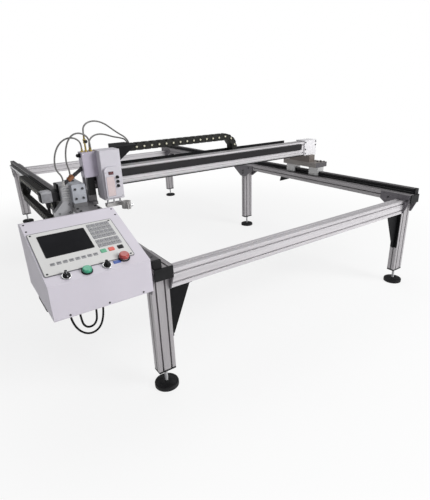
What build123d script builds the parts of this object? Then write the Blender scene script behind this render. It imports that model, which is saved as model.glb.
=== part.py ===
from build123d import *
import math
import os

# A gantry cutting table: a profile frame on six legs, a gantry that runs along two guide rails,
# a torch carriage that runs along the gantry, a torch lift, and a control console at one corner.
# Millimetres. X runs across the table, Y along the rails, Z up, and the floor is Z = 0.
# The model is laid out from the middle of the table and moved to the middle of its box at the end.

# Slotted aluminium profiles
slot_mouth = 8.0
slot_lip = 4.5
slot_room = 16.0
slot_depth = 11.0
chamber_wall = 4.0
slot_offset = 22.5

# Legs and levelling feet
leg_pitch_x = 1900.0
leg_pitch_y = 1735.0
leg_width = 90.0
leg_depth = 52.0
leg_bottom = 95.0
end_plate = 10.0
foot_radius = 60.0
foot_rim = 10.0
foot_cone = 16.0
foot_neck_radius = 20.0
stud_radius = 8.0
stud_reach = 40.0
nut_radius = 14.0
nut_height = 12.0
thread_gap = 0.05

# Side beams, cross beams and the plates that join them
beam_bottom = 610.0
beam_height = 55.0
beam_overhang = 70.0
cap_thickness = 8.0
cross_depth = 60.0
cross_height = 90.0
cross_drop = 40.0
head_plate = 6.0
head_half = 150.0
head_foot_half = 35.0
head_overlap = 35.0
head_overlap_end = 53.0
gusset_width = 120.0
gusset_height = 258.0
gusset_lip = 14.0
gusset_tip = 20.0
gusset_sheet = 6.0
gusset_flange = 46.0
keeper_place = 660.0
keeper_length = 130.0
keeper_lean = 15.0
keeper_drop = 50.0
keeper_width = 40.0
bolt_radius = 6.5
bolt_height = 6.0
bolt_row = 18.0
bolt_reach = 90.0
bolt_near = 45.0

# Guide rails and end stops
rail_width = 38.0
rail_height = 38.0
rail_groove = 6.0
rail_edge = 2.0
stop_length = 14.0

# Rack and pinion drives
gear_module = 3.0
pinion_teeth = 18
tooth_backlash = 0.30
pressure_angle = 20.0
tip_relief = 0.2
rack_back = 12.0
rack_width = 16.0
rack_drop = 1.0
pinion_width = 18.0
shaft_radius = 7.0
running_gap = 0.06
bore_depth = 22.0

# Gantry
gantry_rest = 920.0
gantry_depth = 80.0
gantry_height = 110.0
gantry_slot_offset = 32.0
block_length = 100.0
block_width = 70.0
block_lift = 3.0
block_over = 37.0
block_spread = 165.0
block_spread_right = 132.0
slide_gap = 0.4
carriage_half = 235.0
carriage_half_right = 190.0
carriage_shift_right = 40.0
carriage_thickness = 20.0
carriage_thickness_right = 38.0
carriage_in = 55.0
carriage_notch = 36.0
carriage_out_left = 115.0
carriage_out_right = 85.0
riser_height = 75.0
riser_width_left = 50.0
riser_half_left = 40.0
riser_width_right = 62.0
riser_half_right = 115.0
gantry_past_right = -80.0
end_cover = 135.0
end_cover_lip = 10.0

# Gantry drive
reducer_width = 77.0
reducer_front = 120.0
reducer_back = 60.0
reducer_height = 108.0
reducer_edge = 9.5
reducer_seat = 25.0
reducer_slot = 9.0
reducer_bolt_pitch = 42.0
reducer_bolt_rise = 54.0
gear_case_width = 53.0
gear_case_step = 34.0
gear_case_lift = 12.0
guard_depth = 48.0
guard_flare = 52.0
guard_drop = 48.0
guard_side = 30.0
guard_ease = 1.0
motor_plate = 12.0
motor_plate_height = 96.0
motor_side = 63.0
motor_length = 88.0
motor_drop = 35.0
pinion_back = 30.0

# Energy chains
chain_radius = 86.0
chain_turn_links = 5
chain_height = 45.0
chain_wall = 4.0
link_gap = 0.6
long_chain_width = 52.0
long_chain_out = 14.0
long_chain_centre = 665.0
long_chain_start = 160.0
long_chain_upper_links = 27
long_chain_lower_links = 38
long_chain_arm = 140.0
long_chain_post = 50.0
tray_sheet = 5.0
tray_lip = 20.0
tray_spare = 60.0
cross_chain_width = 70.0
cross_chain_back = 10.0
cross_chain_rise = 95.0
cross_chain_upper_links = 15
cross_chain_lower_links = 4
cross_chain_end = 162.0
cross_tray_start = 185.0
cross_tray_end = 70.0
cross_tray_wall = 6.0

# Torch carriage on the gantry
torch_rest = 115.0
torch_rail_depth = 20.0
torch_rail_height = 46.0
torch_rail_middle = 75.0
torch_rail_end = 45.0
torch_rack_middle = 13.0
slider_length = 50.0
slider_height = 62.0
slider_depth = 32.0
slider_spread = 30.0
carriage_plate_width = 120.0
carriage_plate_sheet = 12.0
carriage_plate_bottom = 800.0
stop_block_width = 40.0
stop_block_depth = 30.0
stop_block_low = 806.0
stop_block_high = 915.0
cross_motor_side = 54.0
cross_motor_length = 54.0
cross_shaft_radius = 5.0
arm_sheet = 8.0
arm_start = 35.0
arm_gusset_width = 136.0
arm_gusset_height = 100.0

# Torch head housing, its panel and the lift inside it
head_width = 120.0
head_depth = 103.0
head_bottom = 790.0
head_height = 280.0
head_wall = 3.0
head_edge = 5.0
shelf_level = 955.0
panel_width = 100.0
panel_depth = 16.0
panel_bottom = 802.0
panel_height = 178.0
panel_round = 26.0
dial_radius = 7.0
dial_length = 12.0
dial_stem_radius = 3.0
dial_offset = 22.0
dial_levels = (918.0, 893.0, 868.0)
lift_motor_side = 42.0
lift_motor_height = 40.0
lift_back = 77.0
lift_rod_radius = 5.0
lift_rod_spread = 38.0
lift_rod_top = 930.0
lift_screw_radius = 4.0
lift_screw_top = 1040.0
holder_level = 745.0
holder_sheet = 20.0
holder_width = 100.0
holder_depth = 34.0
clamp_bore = 17.5
clamp_outer = 27.0
clamp_height = 40.0
clamp_forward = 61.0
clamp_side = 50.0
clamp_split = 3.0
clamp_ear = 16.0
clamp_ear_sheet = 8.0
clamp_screw_radius = 3.0
clamp_knob_radius = 9.0
clamp_knob_length = 14.0

# Valve box, gas fittings and the parked gas tube
valve_width = 80.0
valve_depth = 70.0
valve_height = 140.0
valve_bottom = 924.0
valve_wall = 3.0
valve_front = 135.0
post_radius = 6.0
post_short = 20.0
post_tall = 86.0
post_heights = (post_short, post_short, post_tall, post_short)
gas_knob_radius = 9.0
gas_knob_length = 14.0
tube_radius = 10.0
tube_start = 974.0
tube_end = 900.0
tube_run = 115.0
union_size = 24.0
union_rise = 18.0
union_share = 0.62
tube_end_rise = 17.0

# Control console
console_width = 397.0
console_gap = 30.0
console_front = 120.0
console_bottom = 598.0
console_front_top = 740.0
console_slope = 390.0
console_slope_angle = 20.85
console_back_run = 50.0
console_back_drop = 11.0
console_wall = 2.5
console_base_sheet = 3.0
console_arm_width = 35.0
console_arm_sheet = 10.0
console_arm_left = 20.0
console_arm_places = (-32.0, 92.0)
control_left = 8.0
control_low = 50.0
control_width = 342.0
control_length = 256.0
control_sheet = 3.0
screen_left = 40.0
screen_low = 148.0
screen_width = 182.0
screen_length = 132.0
screen_sheet = 1.5
screen_gap = 0.2
key_height = 1.2
key_columns = 5
key_rows = 6
key_left = 248.0
key_low = 148.0
key_pitch_u = 19.5
key_pitch_v = 27.0
key_width = 15.0
key_length = 18.0
soft_keys = 8
soft_key_left = 50.0
soft_key_low = 100.0
soft_key_pitch = 23.3
soft_key_width = 15.0
soft_key_length = 10.0
run_keys = (247.0, 280.0, 318.0)
run_key_low = 113.0
run_key_side = 18.0
button_row = 29.0
stop_place = 306.0
stop_row = 48.0
start_place = 152.0
selector_places = (77.0, 230.0)
button_stem_radius = 8.0
button_stem_length = 22.0
button_gap = 0.25
stop_radius = 20.0
stop_head = 14.0
stop_clear = 5.0
stop_lift = 8.0
start_radius = 18.0
start_head = 11.0
start_lift = 5.0
selector_radius = 14.0
selector_base = 8.0
selector_bar = 9.0
selector_bar_height = 12.0
selector_lift = 0.4
board_width = 260.0
board_depth = 180.0
board_height = 60.0
gland_radius = 9.0
gland_height = 18.0

# Hoses and cables
cable_radius = 4.5
hose_radius = 4.5
hose_leads = (22.0, 24.0, 25.0, 22.0)
hose_landing = 27.0
chain_landing = 22.0
chain_landing_back = 9.0
chain_landing_out = 14.0
chain_landing_clear = 1.9


# Levels and places that follow from the sizes above
half_x = leg_pitch_x / 2
half_beam = leg_width / 2
beam_top = beam_bottom + beam_height
beam_end = leg_pitch_y + beam_overhang
cross_top = beam_top - cross_drop
cross_bottom = cross_top - cross_height
rail_top = beam_top + rail_height
rail_x = half_x + half_beam - rail_edge - rail_width / 2
block_bottom = beam_top + block_lift
carriage_bottom = rail_top + block_over
carriage_top = carriage_bottom + carriage_thickness
gantry_bottom = carriage_top + riser_height
gantry_top = gantry_bottom + gantry_height
gantry_y = gantry_rest - leg_pitch_y
gantry_front = gantry_y - gantry_depth / 2
gantry_back = gantry_y + gantry_depth / 2
gantry_left = -half_x + 5.0
gantry_right = half_x + gantry_past_right
carriage_left_edge = -half_x - carriage_out_left
carriage_right_edge = half_x + carriage_out_right
pitch_radius = gear_module * pinion_teeth / 2
tooth_pitch = math.pi * gear_module
tip_radius = pitch_radius + gear_module - tip_relief
drive_tip_x = -half_x - half_beam - rack_back - 2.25 * gear_module
drive_pitch_x = drive_tip_x + gear_module
drive_axis_x = drive_pitch_x - pitch_radius
drive_axis_y = gantry_y - pinion_back
rack_level = beam_top - rack_drop - rack_width
reducer_right = carriage_left_edge + reducer_edge + reducer_width
reducer_left = carriage_left_edge + reducer_edge
link_pitch = math.pi * chain_radius / chain_turn_links
torch_x = -half_x + torch_rest
torch_rail_low = gantry_bottom + torch_rail_middle - torch_rail_height / 2
torch_rack_pitch_z = gantry_bottom + torch_rack_middle
torch_axis_z = torch_rack_pitch_z - pitch_radius
arm_level = gantry_top + cross_chain_rise + chain_height / 2
slider_front = gantry_front - slider_depth - 3.0
plate_front = slider_front - carriage_plate_sheet
head_front = plate_front - head_depth
head_top = head_bottom + head_height
panel_front = head_front - panel_depth
lift_y = plate_front - lift_back
clamp_x = torch_x + clamp_side
clamp_y = lift_y - clamp_forward
valve_right = torch_x - head_width / 2
valve_left = valve_right - valve_width
valve_y = gantry_y - valve_front
valve_top = valve_bottom + valve_height
console_right = -half_x - half_beam - console_gap
console_x = console_right - console_width
console_y = -leg_pitch_y - console_front
slope_angle = math.radians(console_slope_angle)
slope_back_y = console_y + console_slope * math.cos(slope_angle)
slope_top = console_front_top + console_slope * math.sin(slope_angle)
console_back = slope_back_y + console_back_run
slope_place = Plane(
    origin=(console_x, console_y, console_front_top),
    x_dir=(1, 0, 0),
    z_dir=(0, -math.sin(slope_angle), math.cos(slope_angle)),
).location

nodes = {}
cord_names = []


def block(x0, x1, y0, y1, z0, z1):
    """A box between two corners."""
    middle = Pos((x0 + x1) / 2, (y0 + y1) / 2, (z0 + z1) / 2)
    return middle * Box(x1 - x0, y1 - y0, z1 - z0)


def rod(start, direction, radius, length):
    """A round bar from a point along a direction."""
    place = Plane(origin=start, z_dir=direction).location
    return place * Pos(0, 0, length / 2) * Cylinder(radius, length)


def flat(points):
    """A closed outline of straight edges as a face."""
    return make_face(Polyline(*points, close=True))


def slotted_section(width, height, columns, rows):
    """A profile section with T-slots: columns cut the two faces across its height, rows the two sides."""
    room = slot_depth - slot_lip
    inset = 2 * (slot_depth + chamber_wall)
    section = Rectangle(width, height) - Rectangle(width - inset, height - inset)
    for side in (-1, 1):
        for x in columns:
            section -= Pos(x, side * (height - slot_lip) / 2) * Rectangle(slot_mouth, slot_lip)
            section -= Pos(x, side * (height / 2 - slot_lip - room / 2)) * Rectangle(slot_room, room)
        for y in rows:
            section -= Pos(side * (width - slot_lip) / 2, y) * Rectangle(slot_lip, slot_mouth)
            section -= Pos(side * (width / 2 - slot_lip - room / 2), y) * Rectangle(room, slot_room)
    return section


def profile_bar(plane, width, height, columns, rows, length):
    """A slotted profile bar, centred on the origin, along a plane's normal."""
    section = slotted_section(width, height, columns, rows)
    return plane.location * extrude(section, amount=length / 2, both=True)


def leg_places():
    """Each leg's sides: -1 or 1 across, and -1, 0 or 1 along."""
    return [(across, along) for across in (-1, 1) for along in (-1, 0, 1)]


def make_frame():
    """Beams, legs, end caps, rails, plates, gussets and feet."""
    beam_middle = beam_bottom + beam_height / 2
    for name, side in (("side_beam_left", -1), ("side_beam_right", 1)):
        bar = profile_bar(
            Plane.XZ, leg_width, beam_height, (-slot_offset, slot_offset), (0,), 2 * beam_end
        )
        nodes[name] = Pos(side * half_x, 0, beam_middle) * bar

    inner = half_x - half_beam - head_plate
    for name, along in (("cross_beam_near", -1), ("cross_beam_far", 1)):
        bar = profile_bar(
            Plane.YZ, cross_depth, cross_height, (0,), (-slot_offset, slot_offset), 2 * inner
        )
        nodes[name] = Pos(0, along * leg_pitch_y, cross_top - cross_height / 2) * bar

    leg_foot = leg_bottom + end_plate
    leg_length = beam_bottom - leg_foot
    legs = []
    caps = []
    feet = []
    for across, along in leg_places():
        place = Pos(across * half_x, along * leg_pitch_y, 0)
        bar = profile_bar(Plane.XY, leg_width, leg_depth, (-slot_offset, slot_offset), (0,), leg_length)
        legs.append(place * Pos(0, 0, leg_foot + leg_length / 2) * bar)
        cap = Pos(0, 0, leg_bottom + end_plate / 2) * Box(leg_width, leg_depth, end_plate)
        cap -= Pos(0, 0, leg_bottom + end_plate / 2) * Cylinder(stud_radius + thread_gap, end_plate)
        caps.append(place * cap)
        feet.append(place * levelling_foot())
    nodes["legs"] = Compound(legs)
    nodes["levelling_feet"] = Compound(feet)

    for across in (-1, 1):
        for along in (-1, 1):
            near = beam_end
            far = beam_end + cap_thickness
            ends = sorted((along * near, along * far))
            x0 = across * half_x - half_beam
            caps.append(block(x0, x0 + leg_width, ends[0], ends[1], beam_bottom, beam_top))
            stop_ends = sorted((along * beam_end, along * (beam_end - stop_length)))
            x0 = across * rail_x - rail_width / 2
            caps.append(block(x0, x0 + rail_width, stop_ends[0], stop_ends[1], beam_top, rail_top))
    nodes["profile_end_caps"] = Compound(caps)

    rails = [Pos(side * rail_x, 0, beam_top) * guide_rail() for side in (-1, 1)]
    nodes["guide_rails"] = Compound(rails)


def guide_rail():
    """A rail with a V groove along each side, standing on its base."""
    half = rail_width / 2
    middle = rail_height / 2
    outline = [
        (-half, 0),
        (half, 0),
        (half, middle - rail_groove),
        (half - rail_groove, middle),
        (half, middle + rail_groove),
        (half, rail_height),
        (-half, rail_height),
        (-half, middle + rail_groove),
        (-half + rail_groove, middle),
        (-half, middle - rail_groove),
    ]
    length = beam_end - stop_length
    return Plane.XZ.location * extrude(flat(outline), amount=length, both=True)


def levelling_foot():
    """A round pad with a coned top and a threaded stud."""
    pad = Pos(0, 0, foot_rim / 2) * Cylinder(foot_radius, foot_rim)
    cone = Pos(0, 0, foot_rim + foot_cone / 2) * Cone(foot_radius, foot_neck_radius, foot_cone)
    stud_top = leg_bottom + end_plate + stud_reach
    stud = Pos(0, 0, stud_top / 2) * Cylinder(stud_radius, stud_top)
    return pad + cone + stud


def head_plate_outline(near, far, overlap):
    """A leg's head plate: a wide bar on the beam that tapers down to the leg, along Y and Z."""
    top = beam_bottom + overlap
    return [
        (-head_foot_half, cross_bottom),
        (head_foot_half, cross_bottom),
        (far, beam_bottom),
        (far, top),
        (-near, top),
        (-near, beam_bottom),
    ]


def make_plates():
    """The plates, gussets and fasteners that join legs and beams."""
    plates = []
    bolts = []
    end_half = beam_overhang - 2.0
    for across, along in leg_places():
        near = end_half if along < 0 else head_half
        far = end_half if along > 0 else head_half
        for face in (-1, 1):
            x = across * half_x + face * (half_beam + head_plate / 2)
            inward = face == -across
            overlap = head_overlap_end if inward and along else head_overlap
            outline = flat(head_plate_outline(near, far, overlap))
            sheet = extrude(outline, amount=head_plate / 2, both=True)
            plates.append(Pos(x, along * leg_pitch_y, 0) * Plane.YZ.location * sheet)
            seat = x + face * head_plate / 2
            rows = [(-min(near - bolt_row, bolt_reach), bolt_row), (min(far - bolt_row, bolt_reach), bolt_row)]
            if not (inward and along):
                rows += [(0, -bolt_row), (0, -bolt_near)]
            for y, z in rows:
                start = (seat, along * leg_pitch_y + y, beam_bottom + z)
                bolts.append(rod(start, (face, 0, 0), bolt_radius, bolt_height))
        nut = extrude(RegularPolygon(nut_radius, 6), amount=nut_height)
        nut -= extrude(Circle(stud_radius + thread_gap), amount=nut_height)
        bolts.append(Pos(across * half_x, along * leg_pitch_y, leg_bottom - nut_height) * nut)
    nodes["leg_head_plates"] = Compound(plates)
    nodes["frame_fasteners"] = Compound(bolts)

    gussets = []
    for across in (-1, 1):
        for along in (-1, 1):
            gussets.append(Pos(across * (half_x - half_beam), along * leg_pitch_y, 0) * gusset(-across))
    keeper = flat([(0, 0), (keeper_length, 0), (keeper_length + keeper_lean, -keeper_drop)])
    keeper = Plane.YZ.location * extrude(keeper, amount=keeper_width / 2, both=True)
    gussets.append(Pos(half_x, -keeper_place, beam_bottom) * keeper)
    nodes["corner_gussets"] = Compound(gussets)


def gusset(side):
    """A bracket under a cross beam and against a leg: two flanges and a three-cornered web."""
    top = cross_bottom
    web = flat(
        [
            (0, top),
            (side * gusset_width, top),
            (side * gusset_width, top - gusset_lip),
            (side * gusset_tip, top - gusset_height),
            (0, top - gusset_height),
        ]
    )
    bracket = Plane.XZ.location * extrude(web, amount=gusset_sheet / 2, both=True)
    ends = sorted((0, side * gusset_width))
    half = gusset_flange / 2
    bracket += block(ends[0], ends[1], -half, half, top - gusset_sheet, top)
    ends = sorted((0, side * gusset_sheet))
    bracket += block(ends[0], ends[1], -half, half, top - gusset_height, top)
    return bracket


def rack_outline(first, last):
    """A straight rack along X: teeth that point to -Y with tips at zero, centred on the origin."""
    lean = math.tan(math.radians(pressure_angle))
    half = (tooth_pitch / 2 - tooth_backlash) / 2
    root = 2.25 * gear_module
    at_tip = half - gear_module * lean
    at_root = half + 1.25 * gear_module * lean
    points = []
    for number in range(first, last + 1):
        middle = number * tooth_pitch
        points.append((middle - at_root, root))
        points.append((middle - at_tip, 0))
        points.append((middle + at_tip, 0))
        points.append((middle + at_root, root))
    points.append((points[-1][0], root + rack_back))
    points.append((points[0][0], root + rack_back))
    return points


def pinion_outline():
    """A spur gear with involute flanks and a gap centred on +X."""
    base = pitch_radius * math.cos(math.radians(pressure_angle))
    root = pitch_radius - 1.25 * gear_module
    half_at_pitch = (tooth_pitch / 2 - tooth_backlash) / (2 * pitch_radius)
    involute_at_pitch = math.tan(math.radians(pressure_angle)) - math.radians(pressure_angle)
    radii = [root, base, (base + pitch_radius) / 2, pitch_radius, (pitch_radius + tip_radius) / 2, tip_radius]
    flank = []
    for radius in radii:
        slip = math.acos(min(1.0, base / radius))
        involute = math.tan(slip) - slip
        flank.append((radius, half_at_pitch + involute_at_pitch - involute))
    points = []
    for tooth in range(pinion_teeth):
        middle = (tooth + 0.5) * 2 * math.pi / pinion_teeth
        for radius, half in flank:
            points.append((radius * math.cos(middle - half), radius * math.sin(middle - half)))
        for radius, half in reversed(flank):
            points.append((radius * math.cos(middle + half), radius * math.sin(middle + half)))
    return points


def make_drive_rack():
    """The rack on the left beam's outer face, in mesh with the gantry's pinion at rest."""
    first = math.ceil((-beam_end - drive_axis_y + 250.0) / tooth_pitch)
    last = math.floor((beam_end - drive_axis_y - 30.0) / tooth_pitch)
    bar = extrude(flat(rack_outline(-last, -first)), amount=rack_width)
    nodes["drive_rack"] = Pos(drive_tip_x, drive_axis_y, rack_level) * Rot(0, 0, -90) * bar


def make_gantry():
    """The gantry's beam, its carriages and bearing blocks, and the drive."""
    bar = profile_bar(
        Plane.YZ,
        gantry_depth,
        gantry_height,
        (0,),
        (-gantry_slot_offset, gantry_slot_offset),
        gantry_right - gantry_left,
    )
    middle_x = (gantry_left + gantry_right) / 2
    nodes["gantry_beam"] = Pos(middle_x, gantry_y, gantry_bottom + gantry_height / 2) * bar

    y0 = gantry_y - carriage_half
    y1 = gantry_y + carriage_half
    x1 = -half_x + carriage_in
    plate = block(carriage_left_edge, x1, y0, y1, carriage_bottom, carriage_top)
    plate -= block(x1 - carriage_notch, x1, y0, gantry_front - end_cover_lip, carriage_bottom, carriage_top)
    hole = Pos(drive_axis_x, drive_axis_y, carriage_bottom + carriage_thickness / 2)
    plate -= hole * Cylinder(shaft_radius + 10 * running_gap, carriage_thickness)
    seat_left = -half_x + 5.0
    plate += block(
        seat_left,
        seat_left + riser_width_left,
        gantry_y - riser_half_left,
        gantry_y + riser_half_left,
        carriage_top,
        gantry_bottom,
    )
    nodes["carriage_left"] = plate
    middle_y = gantry_y + carriage_shift_right
    y0 = middle_y - carriage_half_right
    y1 = middle_y + carriage_half_right
    top = carriage_bottom + carriage_thickness_right
    plate = block(half_x - half_beam, carriage_right_edge, y0, y1, carriage_bottom, top)
    plate += block(
        half_x - half_beam,
        half_x - half_beam + riser_width_right,
        middle_y - riser_half_right,
        middle_y + riser_half_right,
        top,
        gantry_bottom,
    )
    nodes["carriage_right"] = plate

    blocks = []
    for side, place, spread in ((-1, gantry_y, block_spread), (1, middle_y, block_spread_right)):
        for along in (-1, 1):
            blocks.append(Pos(side * rail_x, place + along * spread, 0) * bearing_block())
    nodes["bearing_blocks"] = Compound(blocks)

    covers = []
    y0 = gantry_front - end_cover_lip
    y1 = gantry_back + end_cover_lip
    covers.append(
        block(gantry_right, gantry_right + end_cover, y0, y1, gantry_bottom, gantry_top + end_cover_lip)
    )
    x0 = gantry_left
    y0 = gantry_front - stop_block_depth
    covers.append(block(x0, x0 + stop_block_width, y0, gantry_front, stop_block_low, stop_block_high))
    nodes["gantry_end_plates"] = Compound(covers)


def bearing_block():
    """A block that straddles a guide rail with a running gap."""
    half = block_width / 2
    bearing = block(-half, half, -block_length / 2, block_length / 2, block_bottom, carriage_bottom)
    half = rail_width / 2 + slide_gap
    bearing -= block(-half, half, -block_length, block_length, block_bottom, rail_top + slide_gap)
    return bearing


def make_gantry_drive():
    """Right-angle reducer, its motor, the pinion that hangs down beside the rack, and the pinion's guard."""
    y0 = gantry_y - reducer_front
    y1 = gantry_y + reducer_back
    low = carriage_top + reducer_seat
    top = low + reducer_height
    seat = block(reducer_left, reducer_right, y0, y1, carriage_top, low)
    for y in (y0 + reducer_slot, y0 + 3 * reducer_slot):
        seat -= block(reducer_left, reducer_right, y, y + reducer_slot, carriage_top + reducer_slot, low)
    hole = Pos(drive_axis_x, drive_axis_y, carriage_top + reducer_seat / 2)
    seat -= hole * Cylinder(shaft_radius + 10 * running_gap, reducer_seat)
    reducer = block(reducer_left, reducer_right, y0, y1, low, top)
    reducer = chamfer(reducer.edges().filter_by(Axis.Y), 6.0)
    x1 = reducer_left - gear_case_width
    case_front = y0 + gear_case_step
    reducer += block(x1, reducer_left + 6.0, case_front, y1, low + gear_case_lift, top - 6.0)
    bore = Pos(drive_axis_x, drive_axis_y, low + bore_depth / 2)
    reducer -= bore * Cylinder(shaft_radius + running_gap, bore_depth)
    middle_x = (reducer_left + reducer_right) / 2
    middle_z = low + reducer_height / 2
    for x in (-reducer_bolt_pitch / 2, reducer_bolt_pitch / 2):
        for z in (-reducer_bolt_rise / 2, reducer_bolt_rise / 2):
            reducer += rod((middle_x + x, y0, middle_z + z), (0, -1, 0), bolt_radius, bolt_height)
    case_low = low + gear_case_lift
    guard_low = carriage_top - guard_drop
    outline = [
        (x1 + guard_ease, case_low),
        (reducer_left, case_low),
        (reducer_left, carriage_top),
        (carriage_left_edge, carriage_top),
        (carriage_left_edge, guard_low),
        (x1 - guard_flare, guard_low),
        (x1 - guard_flare, guard_low + guard_side),
    ]
    guard = Plane.XZ.location * extrude(flat(outline), amount=guard_depth)
    guard = Pos(0, case_front + guard_depth, 0) * guard
    nodes["gear_reducer"] = Compound([reducer, seat, guard])

    x0 = x1 - motor_plate
    middle_y = (case_front + y1) / 2
    half = motor_side / 2 + 2.0
    flange = block(x0, x1, middle_y - half, middle_y + half, top - motor_plate_height, top)
    half = motor_side / 2
    middle_z = top - half - motor_drop
    body = block(
        x0 - motor_length, x0, middle_y - half, middle_y + half, middle_z - half, middle_z + half
    )
    body = chamfer(body.edges().filter_by(Axis.X), 8.0)
    nodes["motor_flange"] = flange
    nodes["drive_motor"] = body

    gear = extrude(flat(pinion_outline()), amount=pinion_width)
    gear = Pos(drive_axis_x, drive_axis_y, rack_level - (pinion_width - rack_width) / 2) * gear
    low = rack_level - (pinion_width - rack_width) / 2
    high = carriage_top + reducer_seat + bore_depth - 2.0
    shaft = rod((drive_axis_x, drive_axis_y, low), (0, 0, 1), shaft_radius, high - low)
    nodes["drive_pinion"] = gear + shaft


def chain_link(outer, inner, width):
    """One chain link from its side outline, with a tunnel for the cables."""
    return extrude(flat(outer), amount=width / 2, both=True) - extrude(
        flat(inner), amount=width / 2 - chain_wall, both=True
    )


def chain(lower_links, upper_links, width):
    """An energy chain in its X-Y plane: the turn is centred at (0, chain_radius), runs lie towards -X."""
    half = chain_height / 2
    room = half - chain_wall
    links = []
    for count, level in ((lower_links, 0.0), (upper_links, 2 * chain_radius)):
        for number in range(count):
            x1 = -number * link_pitch - link_gap / 2
            x0 = -(number + 1) * link_pitch + link_gap / 2
            outer = [(x0, level - half), (x1, level - half), (x1, level + half), (x0, level + half)]
            x0 -= link_gap
            x1 += link_gap
            inner = [(x0, level - room), (x1, level - room), (x1, level + room), (x0, level + room)]
            links.append(chain_link(outer, inner, width))
    turn = math.pi / chain_turn_links
    trim = link_gap / chain_radius
    for number in range(chain_turn_links):
        start = -math.pi / 2 + number * turn
        outer = sector(start + trim, start + turn - trim, half)
        inner = sector(start - trim, start + turn + trim, room)
        links.append(chain_link(outer, inner, width))
    return links


def sector(start, end, half):
    """A four-cornered slice of the chain's turn."""
    corners = []
    for angle, radius in (
        (start, chain_radius - half),
        (start, chain_radius + half),
        (end, chain_radius + half),
        (end, chain_radius - half),
    ):
        corners.append((radius * math.cos(angle), chain_radius + radius * math.sin(angle)))
    return corners


def make_chains():
    """The long chain beside the left beam and the cross chain behind the gantry, with their supports."""
    middle_x = -half_x - half_beam - head_plate - long_chain_out - long_chain_width / 2
    start_y = gantry_y + long_chain_start
    turn_y = start_y + long_chain_upper_links * link_pitch
    low = long_chain_centre - 2 * chain_radius
    place = Pos(middle_x, turn_y, low) * Plane.YZ.location
    links = chain(long_chain_lower_links, long_chain_upper_links, long_chain_width)
    nodes["long_chain"] = Compound([place * link for link in links])

    x0 = middle_x - long_chain_width / 2 - tray_sheet
    x1 = middle_x + long_chain_width / 2
    y0 = turn_y - long_chain_lower_links * link_pitch - tray_spare
    y1 = turn_y
    floor = low - chain_height / 2
    tray = block(x0, x1, y0, y1, floor - tray_sheet, floor)
    tray += block(x0, x0 + tray_sheet - 1.0, y0, y1, floor - tray_sheet, floor + tray_lip)
    inner = -half_x - half_beam
    tray += block(x1, inner, -leg_depth / 2, leg_depth / 2, floor - tray_sheet, floor + tray_lip)
    tray += block(x1, inner, y0, y0 + leg_depth, floor - tray_sheet, floor)
    tray += block(inner - head_plate, inner, y0, y0 + leg_depth, floor - tray_sheet, beam_bottom + tray_lip)
    nodes["long_chain_tray"] = tray

    top = long_chain_centre + chain_height / 2
    supports = []
    arm = block(
        middle_x - long_chain_width / 2,
        middle_x + long_chain_width / 2,
        gantry_y + carriage_half - long_chain_arm,
        start_y + link_pitch,
        top,
        top + tray_sheet,
    )
    arm += block(
        carriage_left_edge,
        carriage_left_edge + long_chain_post,
        gantry_y + carriage_half - long_chain_arm,
        gantry_y + carriage_half,
        top,
        carriage_bottom,
    )
    supports.append(arm)

    middle_y = gantry_back + cross_chain_back + cross_chain_width / 2
    start_x = torch_x + cross_chain_end
    turn_x = start_x + cross_chain_upper_links * link_pitch
    low = gantry_top + cross_chain_rise - 2 * chain_radius
    place = Pos(turn_x, middle_y, low) * Plane.XZ.location
    links = chain(cross_chain_lower_links, cross_chain_upper_links, cross_chain_width)
    nodes["cross_chain"] = Compound([place * link for link in links])

    floor = low - chain_height / 2
    x0 = gantry_left + cross_tray_start
    x1 = gantry_right - cross_tray_end
    y1 = middle_y + cross_chain_width / 2 + tray_sheet
    tray = block(x0, x1, gantry_back, y1, floor - tray_sheet, floor)
    tray += block(x0, x1, y1 - tray_sheet + 1.0, y1, floor - tray_sheet, gantry_top + cross_tray_wall)
    supports.append(tray)
    nodes["chain_supports"] = Compound(supports)


def make_torch_track():
    """The rail and the rack on the gantry's front face."""
    x0 = gantry_left + stop_block_width + 1.0
    x1 = gantry_right - torch_rail_end
    y0 = gantry_front - torch_rail_depth
    rail = block(x0, x1, y0, gantry_front, torch_rail_low, torch_rail_low + torch_rail_height)
    nodes["torch_rail"] = rail

    first = math.ceil((x0 - torch_x) / tooth_pitch)
    last = math.floor((x1 - torch_x) / tooth_pitch)
    bar = extrude(flat(rack_outline(first, last)), amount=rack_width)
    tip = torch_rack_pitch_z - gear_module
    nodes["torch_rack"] = Pos(torch_x, gantry_front, tip) * Rot(90, 0, 0) * bar


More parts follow.
